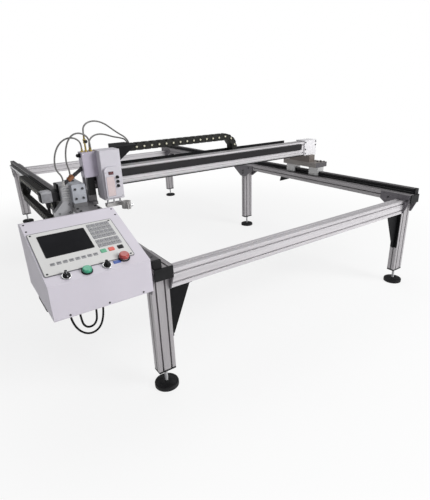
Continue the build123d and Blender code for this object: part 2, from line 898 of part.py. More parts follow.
def make_torch_carriage():
    """The plate that rides on the gantry rail, its sliders, the drive pinion and the chain arm."""
    half = carriage_plate_width / 2
    x0 = torch_x - half
    x1 = torch_x + half
    plate = block(x0, x1, plate_front, slider_front, carriage_plate_bottom, arm_level)
    hole = rod((torch_x, plate_front, torch_axis_z), (0, 1, 0), cross_shaft_radius + 1.0, carriage_plate_sheet)
    middle = torch_rail_low + torch_rail_height / 2
    pieces = [plate - hole]
    for side in (-1, 1):
        x = torch_x + side * slider_spread
        x0 = x - slider_length / 2
        x1 = x + slider_length / 2
        back = slider_front + slider_depth
        slider = block(x0, x1, slider_front, back, middle - slider_height / 2, middle + slider_height / 2)
        slider -= block(
            x0,
            x1,
            gantry_front - torch_rail_depth - slide_gap,
            back,
            torch_rail_low - slide_gap,
            torch_rail_low + torch_rail_height + slide_gap,
        )
        pieces.append(slider)
    nodes["torch_carriage"] = Compound(pieces)

    gear = extrude(flat(pinion_outline()), amount=rack_width - 2.0)
    gear_y = gantry_front - 1.0
    gear = Pos(torch_x, gear_y, torch_axis_z) * Rot(0, -90, 0) * Rot(90, 0, 0) * gear
    reach = gear_y - plate_front + bore_depth
    shaft = rod((torch_x, gear_y, torch_axis_z), (0, -1, 0), cross_shaft_radius, reach)
    nodes["torch_pinion"] = gear + shaft

    start_x = torch_x + cross_chain_end
    y1 = gantry_back + cross_chain_back + cross_chain_width
    x0 = torch_x + arm_start
    level = arm_level
    x1 = start_x + link_pitch
    plan = flat([(x0, plate_front), (x1, plate_front), (x1, y1), (start_x - link_pitch, y1)])
    arm = Pos(0, 0, level) * extrude(plan, amount=arm_sheet)
    x0 = torch_x + carriage_plate_width / 2
    web = flat([(x0, level), (x0 + arm_gusset_width, level), (x0, level - arm_gusset_height)])
    arm += Pos(0, slider_front, 0) * Plane.XZ.location * extrude(web, amount=carriage_plate_sheet)
    nodes["chain_arm"] = arm


def make_torch_head():
    """The head's housing with its panel, dials, motors and valve box."""
    half = head_width / 2
    x0 = torch_x - half
    x1 = torch_x + half
    shell = block(x0, x1, head_front, plate_front, head_bottom, head_top)
    shell = fillet(shell.edges().filter_by(Axis.Z).sort_by(Axis.Y)[:2], head_edge)
    wall = head_wall
    shell -= block(
        x0 + wall, x1 - wall, head_front + wall, plate_front - wall, head_bottom + wall, shelf_level
    )
    shell -= block(
        x0 + wall, x1 - wall, head_front + wall, plate_front - wall, shelf_level + wall, head_top - wall
    )
    side = cross_motor_side / 2 + 1.0
    low = head_bottom + wall
    shell -= block(
        torch_x - side, torch_x + side, plate_front - wall, plate_front, low, low + 2 * side
    )
    for x in (-lift_rod_spread, lift_rod_spread):
        shell -= rod((torch_x + x, lift_y, head_bottom), (0, 0, 1), lift_rod_radius + running_gap, wall)
    shell -= rod((torch_x, lift_y, head_bottom), (0, 0, 1), lift_screw_radius + 0.5, wall)
    shell -= rod((torch_x, lift_y, shelf_level), (0, 0, 1), lift_screw_radius + 0.5, wall)
    nodes["head_shell"] = shell

    face = Pos(torch_x, panel_bottom + panel_height / 2) * Rectangle(panel_width, panel_height)
    face = fillet(face.vertices().sort_by(Axis.Y)[-2:], panel_round)
    panel = Pos(0, head_front, 0) * Plane.XZ.location * extrude(face, amount=panel_depth)
    for number, level in enumerate(dial_levels):
        start = (torch_x + dial_offset, panel_front, level)
        panel -= rod(start, (0, 1, 0), dial_stem_radius + running_gap, panel_depth)
        dial = rod((start[0], panel_front - slide_gap, level), (0, -1, 0), dial_radius, dial_length)
        dial += rod(start, (0, 1, 0), dial_stem_radius, panel_depth - 2.0)
        dial += rod((start[0], panel_front - slide_gap, level), (0, 1, 0), dial_stem_radius, slide_gap)
        nodes[f"head_dial_{number + 1}"] = dial
    nodes["head_panel"] = panel

    half = cross_motor_side / 2
    motor = block(
        torch_x - half,
        torch_x + half,
        plate_front - cross_motor_length,
        plate_front,
        torch_axis_z - half,
        torch_axis_z + half,
    )
    motor -= rod((torch_x, plate_front, torch_axis_z), (0, -1, 0), cross_shaft_radius + running_gap, bore_depth)
    half = lift_motor_side / 2
    low = shelf_level + wall
    lifter = block(
        torch_x - half, torch_x + half, lift_y - half, lift_y + half, low, low + lift_motor_height
    )
    lifter -= rod((torch_x, lift_y, low), (0, 0, 1), lift_screw_radius + 0.3, lift_motor_height)
    nodes["head_motors"] = Compound([motor, lifter])


def make_valve_box():
    """The valve box on the head's left side, its brass fittings, knob and the parked gas tube."""
    y0 = valve_y
    y1 = valve_y + valve_depth
    box = block(valve_left, valve_right, y0, y1, valve_bottom, valve_top)
    wall = valve_wall
    box -= block(
        valve_left + wall, valve_right - wall, y0 + wall, y1, valve_bottom + wall, valve_top - wall
    )
    nodes["valve_box"] = box

    fittings = []
    for place, height in zip(post_places(), post_heights):
        fittings.append(rod((place[0], place[1], valve_top), (0, 0, 1), post_radius, height))
    tall = post_places()[2]
    spindle_z = valve_top + post_tall * 0.66
    fittings[2] += rod((tall[0], tall[1], spindle_z), (0, -1, 0), post_radius - 1.5, post_radius + 8.0)
    middle_y = (y0 + y1) / 2
    drop = tube_start - tube_end
    length = math.hypot(tube_run, drop)
    direction = (-tube_run / length, 0, -drop / length)
    tube = rod((valve_left, middle_y, tube_start), direction, tube_radius, length)
    tube -= block(valve_left, valve_right, y0, y1, valve_bottom, valve_top)
    tube += block(
        valve_left - tube_run - tube_radius,
        valve_left - tube_run + tube_radius,
        middle_y - tube_radius,
        middle_y + tube_radius,
        tube_end - tube_radius,
        tube_end + tube_end_rise,
    )
    union_x = valve_left - union_share * tube_run
    union_z = tube_start - union_share * drop
    half = union_size / 2
    tube += block(
        union_x - half,
        union_x + half,
        middle_y - half,
        middle_y + half,
        union_z - half,
        union_z + union_rise,
    )
    root = rod((valve_left, middle_y, tube_start), (-1, 0, 0), tube_radius, tube_radius)
    fittings.append(tube + root)
    nodes["gas_fittings"] = Compound(fittings)

    start = (tall[0], tall[1] - post_radius - 8.0 - slide_gap, spindle_z)
    nodes["gas_knob"] = rod(start, (0, -1, 0), gas_knob_radius, gas_knob_length)


def post_places():
    """Where the hose posts stand on the valve box: hose A, hose B, hose C and hose D."""
    x = valve_right
    y = valve_y
    return [(x - 65.0, y + 35.0), (x - 19.0, y + 22.0), (x - 43.0, y + 35.0), (x - 15.0, y + 52.0)]


def make_lift():
    """The guide rods and screw of the lift, the torch holder with its split clamp, and the clamp screw."""
    top = holder_level + holder_sheet
    rods = [rod((torch_x, lift_y, top), (0, 0, 1), lift_screw_radius, lift_screw_top - top)]
    for x in (-lift_rod_spread, lift_rod_spread):
        rods.append(rod((torch_x + x, lift_y, top), (0, 0, 1), lift_rod_radius, lift_rod_top - top))
    nodes["lift_rods"] = Compound(rods)

    half = holder_width / 2
    depth = holder_depth / 2
    holder = block(torch_x - half, torch_x + half, lift_y - depth, lift_y + depth, holder_level, top)
    middle_z = (holder_level + top) / 2
    ring = Pos(clamp_x, clamp_y, middle_z) * Cylinder(clamp_outer, clamp_height)
    holder += ring
    holder += block(
        clamp_x - clamp_bore, clamp_x + clamp_bore, clamp_y, lift_y - depth, holder_level, top
    )
    ear = clamp_split / 2 + clamp_ear_sheet
    low = middle_z - clamp_height / 2
    holder += block(
        clamp_x - ear, clamp_x + ear, clamp_y - clamp_outer - clamp_ear, clamp_y, low, low + clamp_height
    )
    holder -= Pos(clamp_x, clamp_y, middle_z) * Cylinder(clamp_bore, clamp_height)
    half = clamp_split / 2
    holder -= block(
        clamp_x - half, clamp_x + half, clamp_y - clamp_outer - clamp_ear, clamp_y, low, low + clamp_height
    )
    screw_y = clamp_y - clamp_outer - clamp_ear / 2
    hole = rod((clamp_x - ear, screw_y, middle_z), (1, 0, 0), clamp_screw_radius + running_gap, 2 * ear)
    nodes["torch_holder"] = holder - hole
    screw = rod((clamp_x - ear, screw_y, middle_z), (1, 0, 0), clamp_screw_radius, 2 * ear + slide_gap)
    start = (clamp_x + ear + slide_gap, screw_y, middle_z)
    screw += rod(start, (1, 0, 0), clamp_knob_radius, clamp_knob_length)
    nodes["clamp_screw"] = screw


def console_outline(inset, bottom):
    """The console's side outline along Y and Z, drawn in by a wall."""
    tan = math.tan(slope_angle)
    lift = inset / math.cos(slope_angle)
    back_tan = console_back_drop / console_back_run
    back_lift = inset * math.hypot(1.0, back_tan)
    ridge_run = slope_back_y - console_y
    ridge_z = slope_top - max(lift, back_lift)
    front = console_y + inset
    back = console_back - inset
    return [
        (front, bottom),
        (front, ridge_z - (ridge_run - inset) * tan),
        (slope_back_y, ridge_z),
        (back, ridge_z - (console_back_run - inset) * back_tan),
        (back, bottom),
    ]


def make_console():
    """The console's shell, base, arms, panel, screen and keys."""
    base = console_bottom + console_base_sheet
    wall = console_wall
    shell = extrude(flat(console_outline(0.0, base)), amount=console_width)
    core = extrude(flat(console_outline(wall, base)), amount=console_width - 2 * wall)
    shell -= Pos(0, 0, wall) * core
    shell = Pos(console_x, 0, 0) * Plane.YZ.location * shell
    for u in (start_place, *selector_places):
        shell -= slope_place * Pos(u, button_row, 0) * Cylinder(button_stem_radius + button_gap, 6 * wall)
    stop_at = slope_place * Pos(stop_place, stop_row, 0)
    shell -= stop_at * Cylinder(button_stem_radius + button_gap, 6 * wall)
    nodes["console_shell"] = shell
    nodes["console_base"] = block(console_x, console_right, console_y, console_back, console_bottom, base)

    arms = []
    x0 = console_x + console_arm_left
    x1 = -half_x - half_beam - head_plate
    for middle in console_arm_places:
        y = middle - leg_pitch_y
        half = console_arm_width / 2
        arms.append(block(x0, x1, y - half, y + half, console_bottom - console_arm_sheet, console_bottom))
    nodes["console_arms"] = Compound(arms)

    panel = slab(control_left, control_low, control_width, control_length, 0.0, control_sheet)
    pocket = control_sheet - screen_sheet
    gap = screen_gap
    panel -= slab(
        screen_left - gap,
        screen_low - gap,
        screen_width + 2 * gap,
        screen_length + 2 * gap,
        pocket,
        control_sheet,
    )
    panel -= stop_at * Cylinder(stop_radius + stop_clear, 4 * control_sheet)
    nodes["control_panel"] = panel
    nodes["display_screen"] = slab(screen_left, screen_low, screen_width, screen_length, pocket, control_sheet)

    keys = []
    top = control_sheet + key_height
    for column in range(key_columns):
        for row in range(key_rows):
            u = key_left + column * key_pitch_u
            v = key_low + row * key_pitch_v
            keys.append(slab(u - key_width / 2, v - key_length / 2, key_width, key_length, control_sheet, top))
    for number in range(soft_keys):
        u = soft_key_left + number * soft_key_pitch - soft_key_width / 2
        keys.append(slab(u, soft_key_low, soft_key_width, soft_key_length, control_sheet, top))
    half = run_key_side / 2
    for u in run_keys:
        keys.append(slab(u - half, run_key_low - half, run_key_side, run_key_side, control_sheet, top))
    nodes["keypad"] = Compound(keys)

    x = console_x + console_width / 2 - board_width / 2
    y = (console_y + console_back) / 2 - board_depth / 2
    nodes["controller_unit"] = block(x, x + board_width, y, y + board_depth, base, base + board_height)


def slab(u, v, width, length, low, high):
    """A flat piece on the console's slope: u across, v up the slope, from low to high above it."""
    middle = Pos(u + width / 2, v + length / 2, (low + high) / 2)
    return slope_place * middle * Box(width, length, high - low)


def make_buttons():
    """The emergency stop, the start button and two selector knobs on the console's lower strip."""
    stem = Cylinder(button_stem_radius, button_stem_length)
    for name, u, v, radius, lift, head in (
        ("stop_button", stop_place, stop_row, stop_radius, stop_lift, stop_head),
        ("start_button", start_place, button_row, start_radius, start_lift, start_head),
    ):
        cap = Pos(0, 0, lift + head / 2) * Cylinder(radius, head)
        cap = fillet(cap.edges().sort_by(Axis.Z)[-1:], head * 0.45)
        button = cap + Pos(0, 0, lift - button_stem_length / 2) * stem
        nodes[name] = slope_place * Pos(u, v, 0) * button
    for name, u in zip(("mode_selector", "height_selector"), selector_places):
        knob = Pos(0, 0, selector_lift + selector_base / 2) * Cylinder(selector_radius, selector_base)
        level = selector_lift + selector_base
        bar = Pos(0, 0, level + selector_bar_height / 2)
        knob += bar * Box(selector_bar, 1.8 * selector_radius, selector_bar_height)
        knob += Pos(0, 0, level - button_stem_length / 2) * stem
        nodes[name] = slope_place * Pos(u, button_row, 0) * knob


def cord(name, points, radius):
    """A tube along a route: straight runs joined by arcs as large as the runs allow."""
    vectors = [Vector(*point) for point in points]
    radii = []
    for before, here, after in zip(vectors, vectors[1:], vectors[2:]):
        turn = math.radians((here - before).get_angle(after - here))
        shorter = min((here - before).length, (after - here).length)
        radii.append(0.45 * shorter / math.tan(turn / 2))
    path = FilletPolyline(*points, radius=radii)
    section = Plane(origin=path @ 0, z_dir=path % 0) * Circle(radius)
    tube = sweep(section, path=path)
    expected = math.pi * radius * radius * path.length
    print(name, "length", round(path.length), "volume share", round(tube.volume / expected, 4))
    print(name, "radii", [round(value) for value in radii])
    nodes[name] = tube
    cord_names.append(name)


def by_valve_box(points):
    """Route points given from the valve box's right front top corner."""
    return [(valve_right + x, valve_y + y, valve_top + z) for x, y, z in points]


def under_console(points):
    """Route points given from the console's right front bottom corner."""
    return [(console_right + x, console_y + y, console_bottom + z) for x, y, z in points]


def make_cords():
    """Hoses between the valve box, the parked tube and the chain, and cables under the console."""
    posts = [(x, y, valve_top + height) for (x, y), height in zip(post_places(), post_heights)]
    leads = [(x, y, z + lead) for (x, y, z), lead in zip(posts, hose_leads)]
    tube_y = valve_y + valve_depth / 2
    tube_x = valve_left - tube_run
    tube_top = tube_end + tube_end_rise
    union_x = valve_left - union_share * tube_run
    union_top = tube_start - union_share * (tube_start - tube_end) + union_rise
    route = by_valve_box(
        [
            (-75, 37, 64),
            (-103, 39, 81),
            (-145, 41, 79),
            (-185, 42, 51),
            (-212, 42, 4),
            (-223, 41, -48),
            (-219, 39, -88),
        ]
    )
    ends = [(tube_x, tube_y, tube_top + hose_landing), (tube_x, tube_y, tube_top)]
    cord("gas_hose_a", [posts[0], leads[0], *route, *ends], hose_radius)

    route = by_valve_box(
        [
            (-26, 15, 73),
            (-48, 11, 96),
            (-81, 12, 106),
            (-115, 15, 96),
            (-141, 18, 64),
            (-157, 21, 19),
            (-163, 25, -32),
            (-159, 31, -68),
        ]
    )
    ends = [(union_x, tube_y, union_top + hose_landing), (union_x, tube_y, union_top)]
    cord("gas_hose_b", [posts[1], leads[1], *route, *ends], hose_radius)

    chain_x = torch_x + cross_chain_end + link_pitch + chain_landing_out
    chain_y = gantry_back + cross_chain_back + cross_chain_width / 2
    chain_top = arm_level + chain_landing_clear
    route = by_valve_box(
        [
            (-35, 43, 135),
            (-6, 61, 154),
            (47, 90, 159),
            (113, 127, 139),
            (174, 160, 97),
            (222, 186, 66),
            (258, 199, 46),
        ]
    )
    lead_x = chain_x - chain_landing_back
    lead_z = chain_top + chain_landing
    ends = [(lead_x, chain_y - 12.0, lead_z), (chain_x, chain_y - 12.0, chain_top)]
    cord("gas_hose_c", [posts[2], leads[2], *route, *ends], hose_radius)

    route = by_valve_box(
        [
            (-4, 58, 63),
            (23, 73, 79),
            (65, 96, 84),
            (117, 126, 73),
            (171, 161, 54),
            (219, 193, 41),
            (252, 216, 30),
        ]
    )
    ends = [(lead_x, chain_y + 12.0, lead_z), (chain_x, chain_y + 12.0, chain_top)]
    cord("gas_hose_d", [posts[3], leads[3], *route, *ends], hose_radius)

    low = -gland_height
    outer = under_console(
        [
            (-305, 180, low),
            (-305, 180, low - 32),
            (-305, 181, -98),
            (-296, 182, -143),
            (-276, 183, -182),
            (-246, 184, -207),
            (-214, 184, -209),
            (-187, 183, -190),
            (-171, 182, -152),
            (-164, 181, -103),
            (-165, 180, low - 32),
            (-165, 180, low),
        ]
    )
    cord("console_cable_a", outer, cable_radius)
    inner = under_console(
        [
            (-268, 160, low),
            (-268, 160, low - 28),
            (-270, 159, -78),
            (-268, 158, -111),
            (-264, 158, -140),
            (-248, 158, -160),
            (-222, 158, -160),
            (-206, 158, -140),
            (-202, 158, -111),
            (-201, 159, -78),
            (-203, 160, low - 28),
            (-203, 160, low),
        ]
    )
    cord("console_cable_b", inner, cable_radius)
    glands = []
    for start in (outer[0], outer[-1], inner[0], inner[-1]):
        glands.append(rod(start, (0, 0, 1), gland_radius, gland_height))
    nodes["cable_glands"] = Compound(glands)


def write_nodes():
    """Move everything so that the origin is under the middle of the machine, and write one file a node."""
    os.makedirs("parts", exist_ok=True)
    machine = Compound([shape for name, shape in nodes.items() if name not in cord_names])
    middle = machine.bounding_box().center()
    shift = Pos(-middle.X, -middle.Y, 0)
    for name, shape in nodes.items():
        placed = shift * shape
        placed.label = name
        export_step(placed, os.path.join("parts", name + ".step"))
    print(len(nodes), "nodes, moved by", round(-middle.X, 3), round(-middle.Y, 3))
    return shift.position


make_frame()
make_plates()
make_drive_rack()
make_gantry()
make_gantry_drive()
make_chains()
make_torch_track()
make_torch_carriage()
make_torch_head()
make_valve_box()
make_lift()
make_console()
make_buttons()
make_cords()
origin_shift = write_nodes()
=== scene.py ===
# %% [markdown]
# # A gantry cutting machine
# The machine is a table of slotted profiles with a bridge that runs along it. Its rigid parts come from
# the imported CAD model, which is loaded first and never moved. The lesson then adds the camera, the
# hoses, the finishes and the small pieces that make the machine look real, one step at a time.

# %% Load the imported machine
import math

import bpy
import numpy as np
from mathutils import Matrix


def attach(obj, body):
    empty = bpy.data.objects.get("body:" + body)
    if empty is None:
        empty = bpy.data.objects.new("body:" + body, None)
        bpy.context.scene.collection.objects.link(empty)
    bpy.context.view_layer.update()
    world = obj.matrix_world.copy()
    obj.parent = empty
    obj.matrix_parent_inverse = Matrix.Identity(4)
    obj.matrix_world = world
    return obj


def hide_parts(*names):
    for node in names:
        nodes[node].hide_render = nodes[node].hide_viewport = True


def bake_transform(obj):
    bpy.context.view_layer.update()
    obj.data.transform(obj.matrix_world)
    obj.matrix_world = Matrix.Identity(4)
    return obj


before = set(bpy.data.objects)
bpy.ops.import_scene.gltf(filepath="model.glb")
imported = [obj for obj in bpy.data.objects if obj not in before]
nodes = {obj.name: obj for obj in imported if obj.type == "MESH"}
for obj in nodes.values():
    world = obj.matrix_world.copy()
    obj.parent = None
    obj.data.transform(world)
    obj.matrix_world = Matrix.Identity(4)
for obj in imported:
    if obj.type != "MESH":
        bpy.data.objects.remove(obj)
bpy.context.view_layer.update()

# %% [markdown]
# ## Camera
# The picture was taken from a standing height near the console's corner. A camera can be aimed by hand
# or with a constraint. Here its three turns are written down and made into a matrix, because a tilt of
# two degrees is hard to set by eye. Two small functions put an object into the scene and stand it in its
# place, and later steps use them too.


# %% Camera
def put(name, data):
    """An object that holds the data, linked into the scene."""
    piece = bpy.data.objects.new(name, data)
    bpy.context.scene.collection.objects.link(piece)
    return piece


def stand(piece, axes, place):
    """An object's three axes become the columns of its matrix, and its origin the place."""
    turn = np.eye(4)
    turn[:3, :3] = np.stack(axes, axis=1)
    turn[:3, 3] = place
    piece.matrix_world = Matrix(turn.tolist())


yaw, pitch, roll = 0.5872, 0.3817, -0.0351
camera_place, sensor, lens = (-1.4247, -3.1949, 1.3578), 36.0, 28.53
forward = np.array([math.sin(yaw) * math.cos(pitch), math.cos(yaw) * math.cos(pitch), -math.sin(pitch)])
level = np.array([math.cos(yaw), -math.sin(yaw), 0.0])
upward = np.cross(level, forward)
right = math.cos(roll) * level + math.sin(roll) * upward
top = math.cos(roll) * upward - math.sin(roll) * level
camera = put("camera", bpy.data.cameras.new("camera"))
camera.data.sensor_width = sensor
camera.data.lens = lens
stand(camera, [right, top, -forward], camera_place)
bpy.context.scene.camera = camera
print("camera at", camera_place)

# %% [markdown]
# ## Finishes
# A finish here is one node tree: a base colour that drifts a little over the surface, a roughness that
# drifts with it, a fine bump, and edges that are rubbed lighter. Image textures could do this, but noise
# in the object's own coordinates needs no unwrapping and keeps its scale on a long beam and on a small
# knob. A Bevel node rounds the light on sharp edges, as a file does on the real part, and where its
# normal leaves the true one there is an edge, so the same node finds the places that wear. The first two
# functions fill and make nodes, so that a tree reads as a list of what goes into what.


# %% Nodes
def fill(tree, node, inputs):
    """Each named input of a node gets a value, or a link where another node's output is given."""
    for name, value in inputs.items():
        if isinstance(value, bpy.types.NodeSocket):
            tree.links.new(value, node.inputs[name])
        else:
            node.inputs[name].default_value = value


def add_node(tree, kind, inputs, **settings):
    """A new shader node with its settings made and its inputs filled."""
    node = tree.nodes.new("ShaderNode" + kind)
    for name, value in settings.items():
        setattr(node, name, value)
    fill(tree, node, inputs)
    return node


# %% A finish from noise
edge_flat, edge_bent, bare_grey = 0.985, 0.8, (0.62, 0.62, 0.62, 1)
rough_drift, grain_depth, tone_blur = 0.1, 0.0006, 0.0004


def finish(name, colour, rough, metal=0.0, drift=0.08, drift_scale=9.0, stretch=(1, 1, 1), grain=0.08,
           grain_scale=900.0, edge=0.0012, coat=0.0, worn=0.25, gloss=0.5):
    """A material: colour times (1 - drift .. 1 + drift) by noise, lighter by `worn` where edges bend."""
    material = bpy.data.materials.new(name)
    material.use_nodes = True
    tree = material.node_tree
    place = add_node(tree, "TexCoord", {})
    mapping = add_node(tree, "Mapping", {"Scale": stretch, "Vector": place.outputs["Object"]})

    def noise(scale, detail):
        vector = mapping.outputs["Vector"]
        texture = add_node(tree, "TexNoise", {"Scale": scale, "Detail": detail, "Vector": vector})
        return texture.outputs["Fac"]

    bevel = add_node(tree, "Bevel", {"Radius": edge}, samples=4)
    surface = add_node(tree, "NewGeometry", {})
    facing = add_node(tree, "VectorMath", {0: bevel.outputs["Normal"], 1: surface.outputs["True Normal"]},
                      operation="DOT_PRODUCT")
    rubbed = add_node(tree, "MapRange", {"Value": facing.outputs["Value"], "From Min": edge_flat,
                                         "From Max": edge_bent, "To Max": worn})

    ramp = add_node(tree, "ValToRGB", {"Fac": noise(drift_scale, 6.0)})
    colour = np.array(colour, float)
    for end, position, factor in zip(ramp.color_ramp.elements, (0.3, 0.7), (1 - drift, 1 + drift)):
        end.position = position
        end.color = (*np.clip(colour * factor, 0, 1), 1)
    wear = add_node(tree, "Mix", {"Factor": rubbed.outputs["Result"], "A": ramp.outputs["Color"],
                                  "B": bare_grey}, data_type="RGBA", name="wear")

    spread = add_node(tree, "MapRange", {"Value": noise(drift_scale * 4, 4.0),
                                         "To Min": max(0.02, rough - rough_drift),
                                         "To Max": min(1.0, rough + rough_drift)})
    bump = add_node(tree, "Bump", {"Strength": grain, "Distance": grain_depth,
                                   "Height": noise(grain_scale, 3.0), "Normal": bevel.outputs["Normal"]})
    fill(tree, tree.nodes["Principled BSDF"], {
        "Base Color": wear.outputs["Result"], "Metallic": metal, "Roughness": spread.outputs["Result"],
        "Coat Weight": coat, "Specular IOR Level": gloss, "Normal": bump.outputs["Normal"]})
    return material


# %% [markdown]
# Some CAD pieces carry two colours: a painted plate with a brown riser, a black foot with a bright stud.
# They could be cut apart, but a node's mesh stays as it is, so the second colour is laid on by height or
# side: one coordinate of the surface is compared with a level, over a fraction of a millimetre. The same
# split also paints shade, on the bridge's top and on the guide rails' sides.


# %% Two colours and painted shade on one piece
def two_tone_and_shade(material, axis, border, colour, above=True):
    """Where the object's coordinate on the axis passes the border, the drift colour becomes another."""
    tree = material.node_tree
    place = next(node for node in tree.nodes if node.type == "TEX_COORD")
    apart = add_node(tree, "SeparateXYZ", {"Vector": place.outputs["Object"]})
    reach = tone_blur if above else -tone_blur
    side = add_node(tree, "MapRange", {"Value": apart.outputs[axis], "From Min": border - reach,
                                       "From Max": border + reach})
    wear = tree.nodes["wear"]
    before = wear.inputs["A"].links[0].from_socket
    other = add_node(tree, "Mix", {"Factor": side.outputs["Result"], "A": before, "B": (*colour, 1)},
                     data_type="RGBA")
    fill(tree, wear, {"A": other.outputs["Result"]})
    print(material.name, "turns at", axis, border)


# %% [markdown]
# The extruded profiles are drawn through a die, so their grain runs lengthwise. The finish is made
# three times, with the noise stretched along X, Y or Z, and each bar takes the one along its length. The
# copies differ in colour: the side beams' copy along Y is darker as painted shade, and the legs' copy
# along Z is darker than the cross beams'. The bridge is paler than the frame as painted light, and its
# top is painted darker as shade. The head plates are painted dark grey for shade and the guide rails'
# sides near black for shade, and the torch rail on its front is a dark cover.

# %% Profiles, plates and rails
along_x, along_y, along_z = (0.03, 1, 1), (1, 0.03, 1), (1, 1, 0.03)
silver, black = (0.61, 0.59, 0.61), (0.012, 0.012, 0.013)
profile_x = finish("profile_x", silver, 0.36, 0.35, 0.1, 60, along_x, 0.15, 500)
# Painted shade: the side beams' copy is darker than the cross beams' for the shade on their faces.
profile_y_shaded = finish("profile_y_shaded", (0.36, 0.345, 0.355), 0.4, 0.35, 0.1, 60, along_y, 0.15, 500)
profile_z = finish("profile_z", (0.41, 0.392, 0.405), 0.36, 0.35, 0.1, 60, along_z, 0.15, 500)
# Painted light: the bridge's copy is paler than the frame's, as if brightly lit.
bridge_lit_top_shaded = finish("bridge_lit_top_shaded", (0.72, 0.7, 0.72), 0.34, 0.2, 0.08, 60, along_x, 0.15, 500)
# Painted shade: the bridge's top above 0.9445 is darkened to about half.
two_tone_and_shade(bridge_lit_top_shaded, "Z", 0.9445, (0.36, 0.35, 0.355))
# Painted shade: the head plates are coloured dark grey for the shade they sit in; the torch carriage
# takes the same finish.
plate_metal_shaded = finish("plate_metal_shaded", (0.15, 0.14, 0.155), 0.45, 0.3, 0.12, 25, grain=0.14)
clamp_metal = finish("clamp_metal", (0.5, 0.49, 0.48), 0.36, 0.5, 0.12, 40, grain=0.12)
# Painted shadow: the guide rails are near black on their sides for the shade there; above 0.7005 the top
# keeps the rails' dark grey.
rail_steel_shaded_sides = finish("rail_steel_shaded_sides", (0.014, 0.014, 0.016), 0.4, 0.0, 0.3, 50, along_y, 0.12, gloss=0.25)
two_tone_and_shade(rail_steel_shaded_sides, "Z", 0.7005, (0.098, 0.093, 0.097))
cover_grey = finish("cover_grey", (0.018, 0.0172, 0.0185), 0.4, 0.1, 0.2, 50, along_x, 0.12, gloss=0.22)
rack_pale = finish("rack_pale", (0.6, 0.59, 0.6), 0.55, 0.2, 0.08, 60, along_x, 0.1, worn=0.05, gloss=0.3)
bright_steel = finish("bright_steel", (0.58, 0.58, 0.59), 0.28, 0.9, 0.08, 60, grain=0.1)
dark_steel = finish("dark_steel", (0.045, 0.045, 0.048), 0.38, 0.4, 0.2, 60, grain=0.12, gloss=0.3)
two_tone_and_shade(dark_steel, "Z", 0.2, (0.5, 0.5, 0.51), above=False)
print(len(bpy.data.materials), "materials")

# %% [markdown]
# Paint and plastic come next. Powder coat has a fine orange peel, so its bump is small and dense.
# Moulded black plastic is coarser and duller. The console and the torch head are a cool pale grey.

# %% Paints, plastics and rubber
black_paint = finish("black_paint", (0.008, 0.008, 0.009), 0.55, 0.0, 0.25, 30, grain=0.1,
                     worn=0.04, gloss=0.12)
black_plastic = finish("black_plastic", black, 0.52, 0.0, 0.25, 40, grain=0.14, worn=0.03, gloss=0.18)
chain_plastic = finish("chain_plastic", (0.016, 0.0155, 0.013), 0.5, 0.0, 0.3, 30, grain=0.16, worn=0.04,
                       gloss=0.2)
foot_black = finish("foot_black", black, 0.48, 0.0, 0.3, 40, grain=0.16, grain_scale=700,
                    worn=0.04, gloss=0.2)
two_tone_and_shade(foot_black, "Z", 0.0275, (0.5, 0.5, 0.51))
powder_coat = finish("powder_coat", (0.665, 0.63, 0.695), 0.45, 0.0, 0.03, 6, grain=0.1,
                     grain_scale=1400, gloss=0.3)
panel_film = finish("panel_film", (0.69, 0.685, 0.675), 0.45, 0.0, 0.02, 10, grain=0.05, gloss=0.3)
screen_black = finish("screen_black", (0.008, 0.008, 0.01), 0.55, 0.0, 0.2, 8, grain=0.0,
                      worn=0.0, gloss=0.06)
key_grey = finish("key_grey", (0.33, 0.33, 0.345), 0.5, 0.0, 0.1, 60, gloss=0.3)
mark_grey = finish("mark_grey", (0.16, 0.16, 0.17), 0.5, 0.0, 0.1, 60, grain=0.04)
hose_rubber = finish("hose_rubber", (0.17, 0.165, 0.16), 0.5, 0.0, 0.2, 80, grain=0.12, worn=0.0)
cable_rubber = finish("cable_rubber", (0.006, 0.006, 0.007), 0.6, 0.0, 0.3, 80, grain=0.12,
                      worn=0.0, gloss=0.1)
red_plastic = finish("red_plastic", (0.4, 0.048, 0.042), 0.32, 0.0, 0.08, 40, grain=0.04,
                     coat=0.3, worn=0.1)
green_plastic = finish("green_plastic", (0.04, 0.35, 0.2), 0.3, 0.0, 0.08, 40, grain=0.04,
                       coat=0.3, worn=0.1)
key_green = finish("key_green", (0.1, 0.42, 0.24), 0.42, 0.0, 0.08, 60, grain=0.06, worn=0.1)
key_red = finish("key_red", (0.72, 0.11, 0.08), 0.42, 0.0, 0.08, 60, grain=0.06, worn=0.1)
label_blue = finish("label_blue", (0.05, 0.11, 0.4), 0.4, 0.0, 0.06, 60, grain=0.03, worn=0.0)
carriage_grey = finish("carriage_grey", (0.27, 0.262, 0.27), 0.42, 0.2, 0.12, 24, grain=0.12)
carriage_paint = finish("carriage_paint", (0.27, 0.25, 0.235), 0.42, 0.1, 0.08, 24, along_y, 0.12)
two_tone_and_shade(carriage_paint, "Z", 0.7782, (0.15, 0.128, 0.115))
two_tone_and_shade(carriage_paint, "Y", -0.9436, (0.085, 0.08, 0.086), above=False)
block_steel = finish("block_steel", (0.5, 0.5, 0.5), 0.35, 0.5, 0.1, 40, grain=0.12)
reducer_paint = finish("reducer_paint", (0.46, 0.48, 0.52), 0.38, 0.1, 0.1, 20, grain=0.14)
two_tone_and_shade(reducer_paint, "Z", 0.7846, (0.17, 0.17, 0.175), above=False)
two_tone_and_shade(reducer_paint, "Y", -0.9146, (0.045, 0.045, 0.05), above=False)
two_tone_and_shade(reducer_paint, "X", -0.8628, (0.42, 0.42, 0.435), above=False)
motor_paint = finish("motor_paint", (0.36, 0.36, 0.38), 0.45, 0.2, 0.15, 26, grain=0.16)
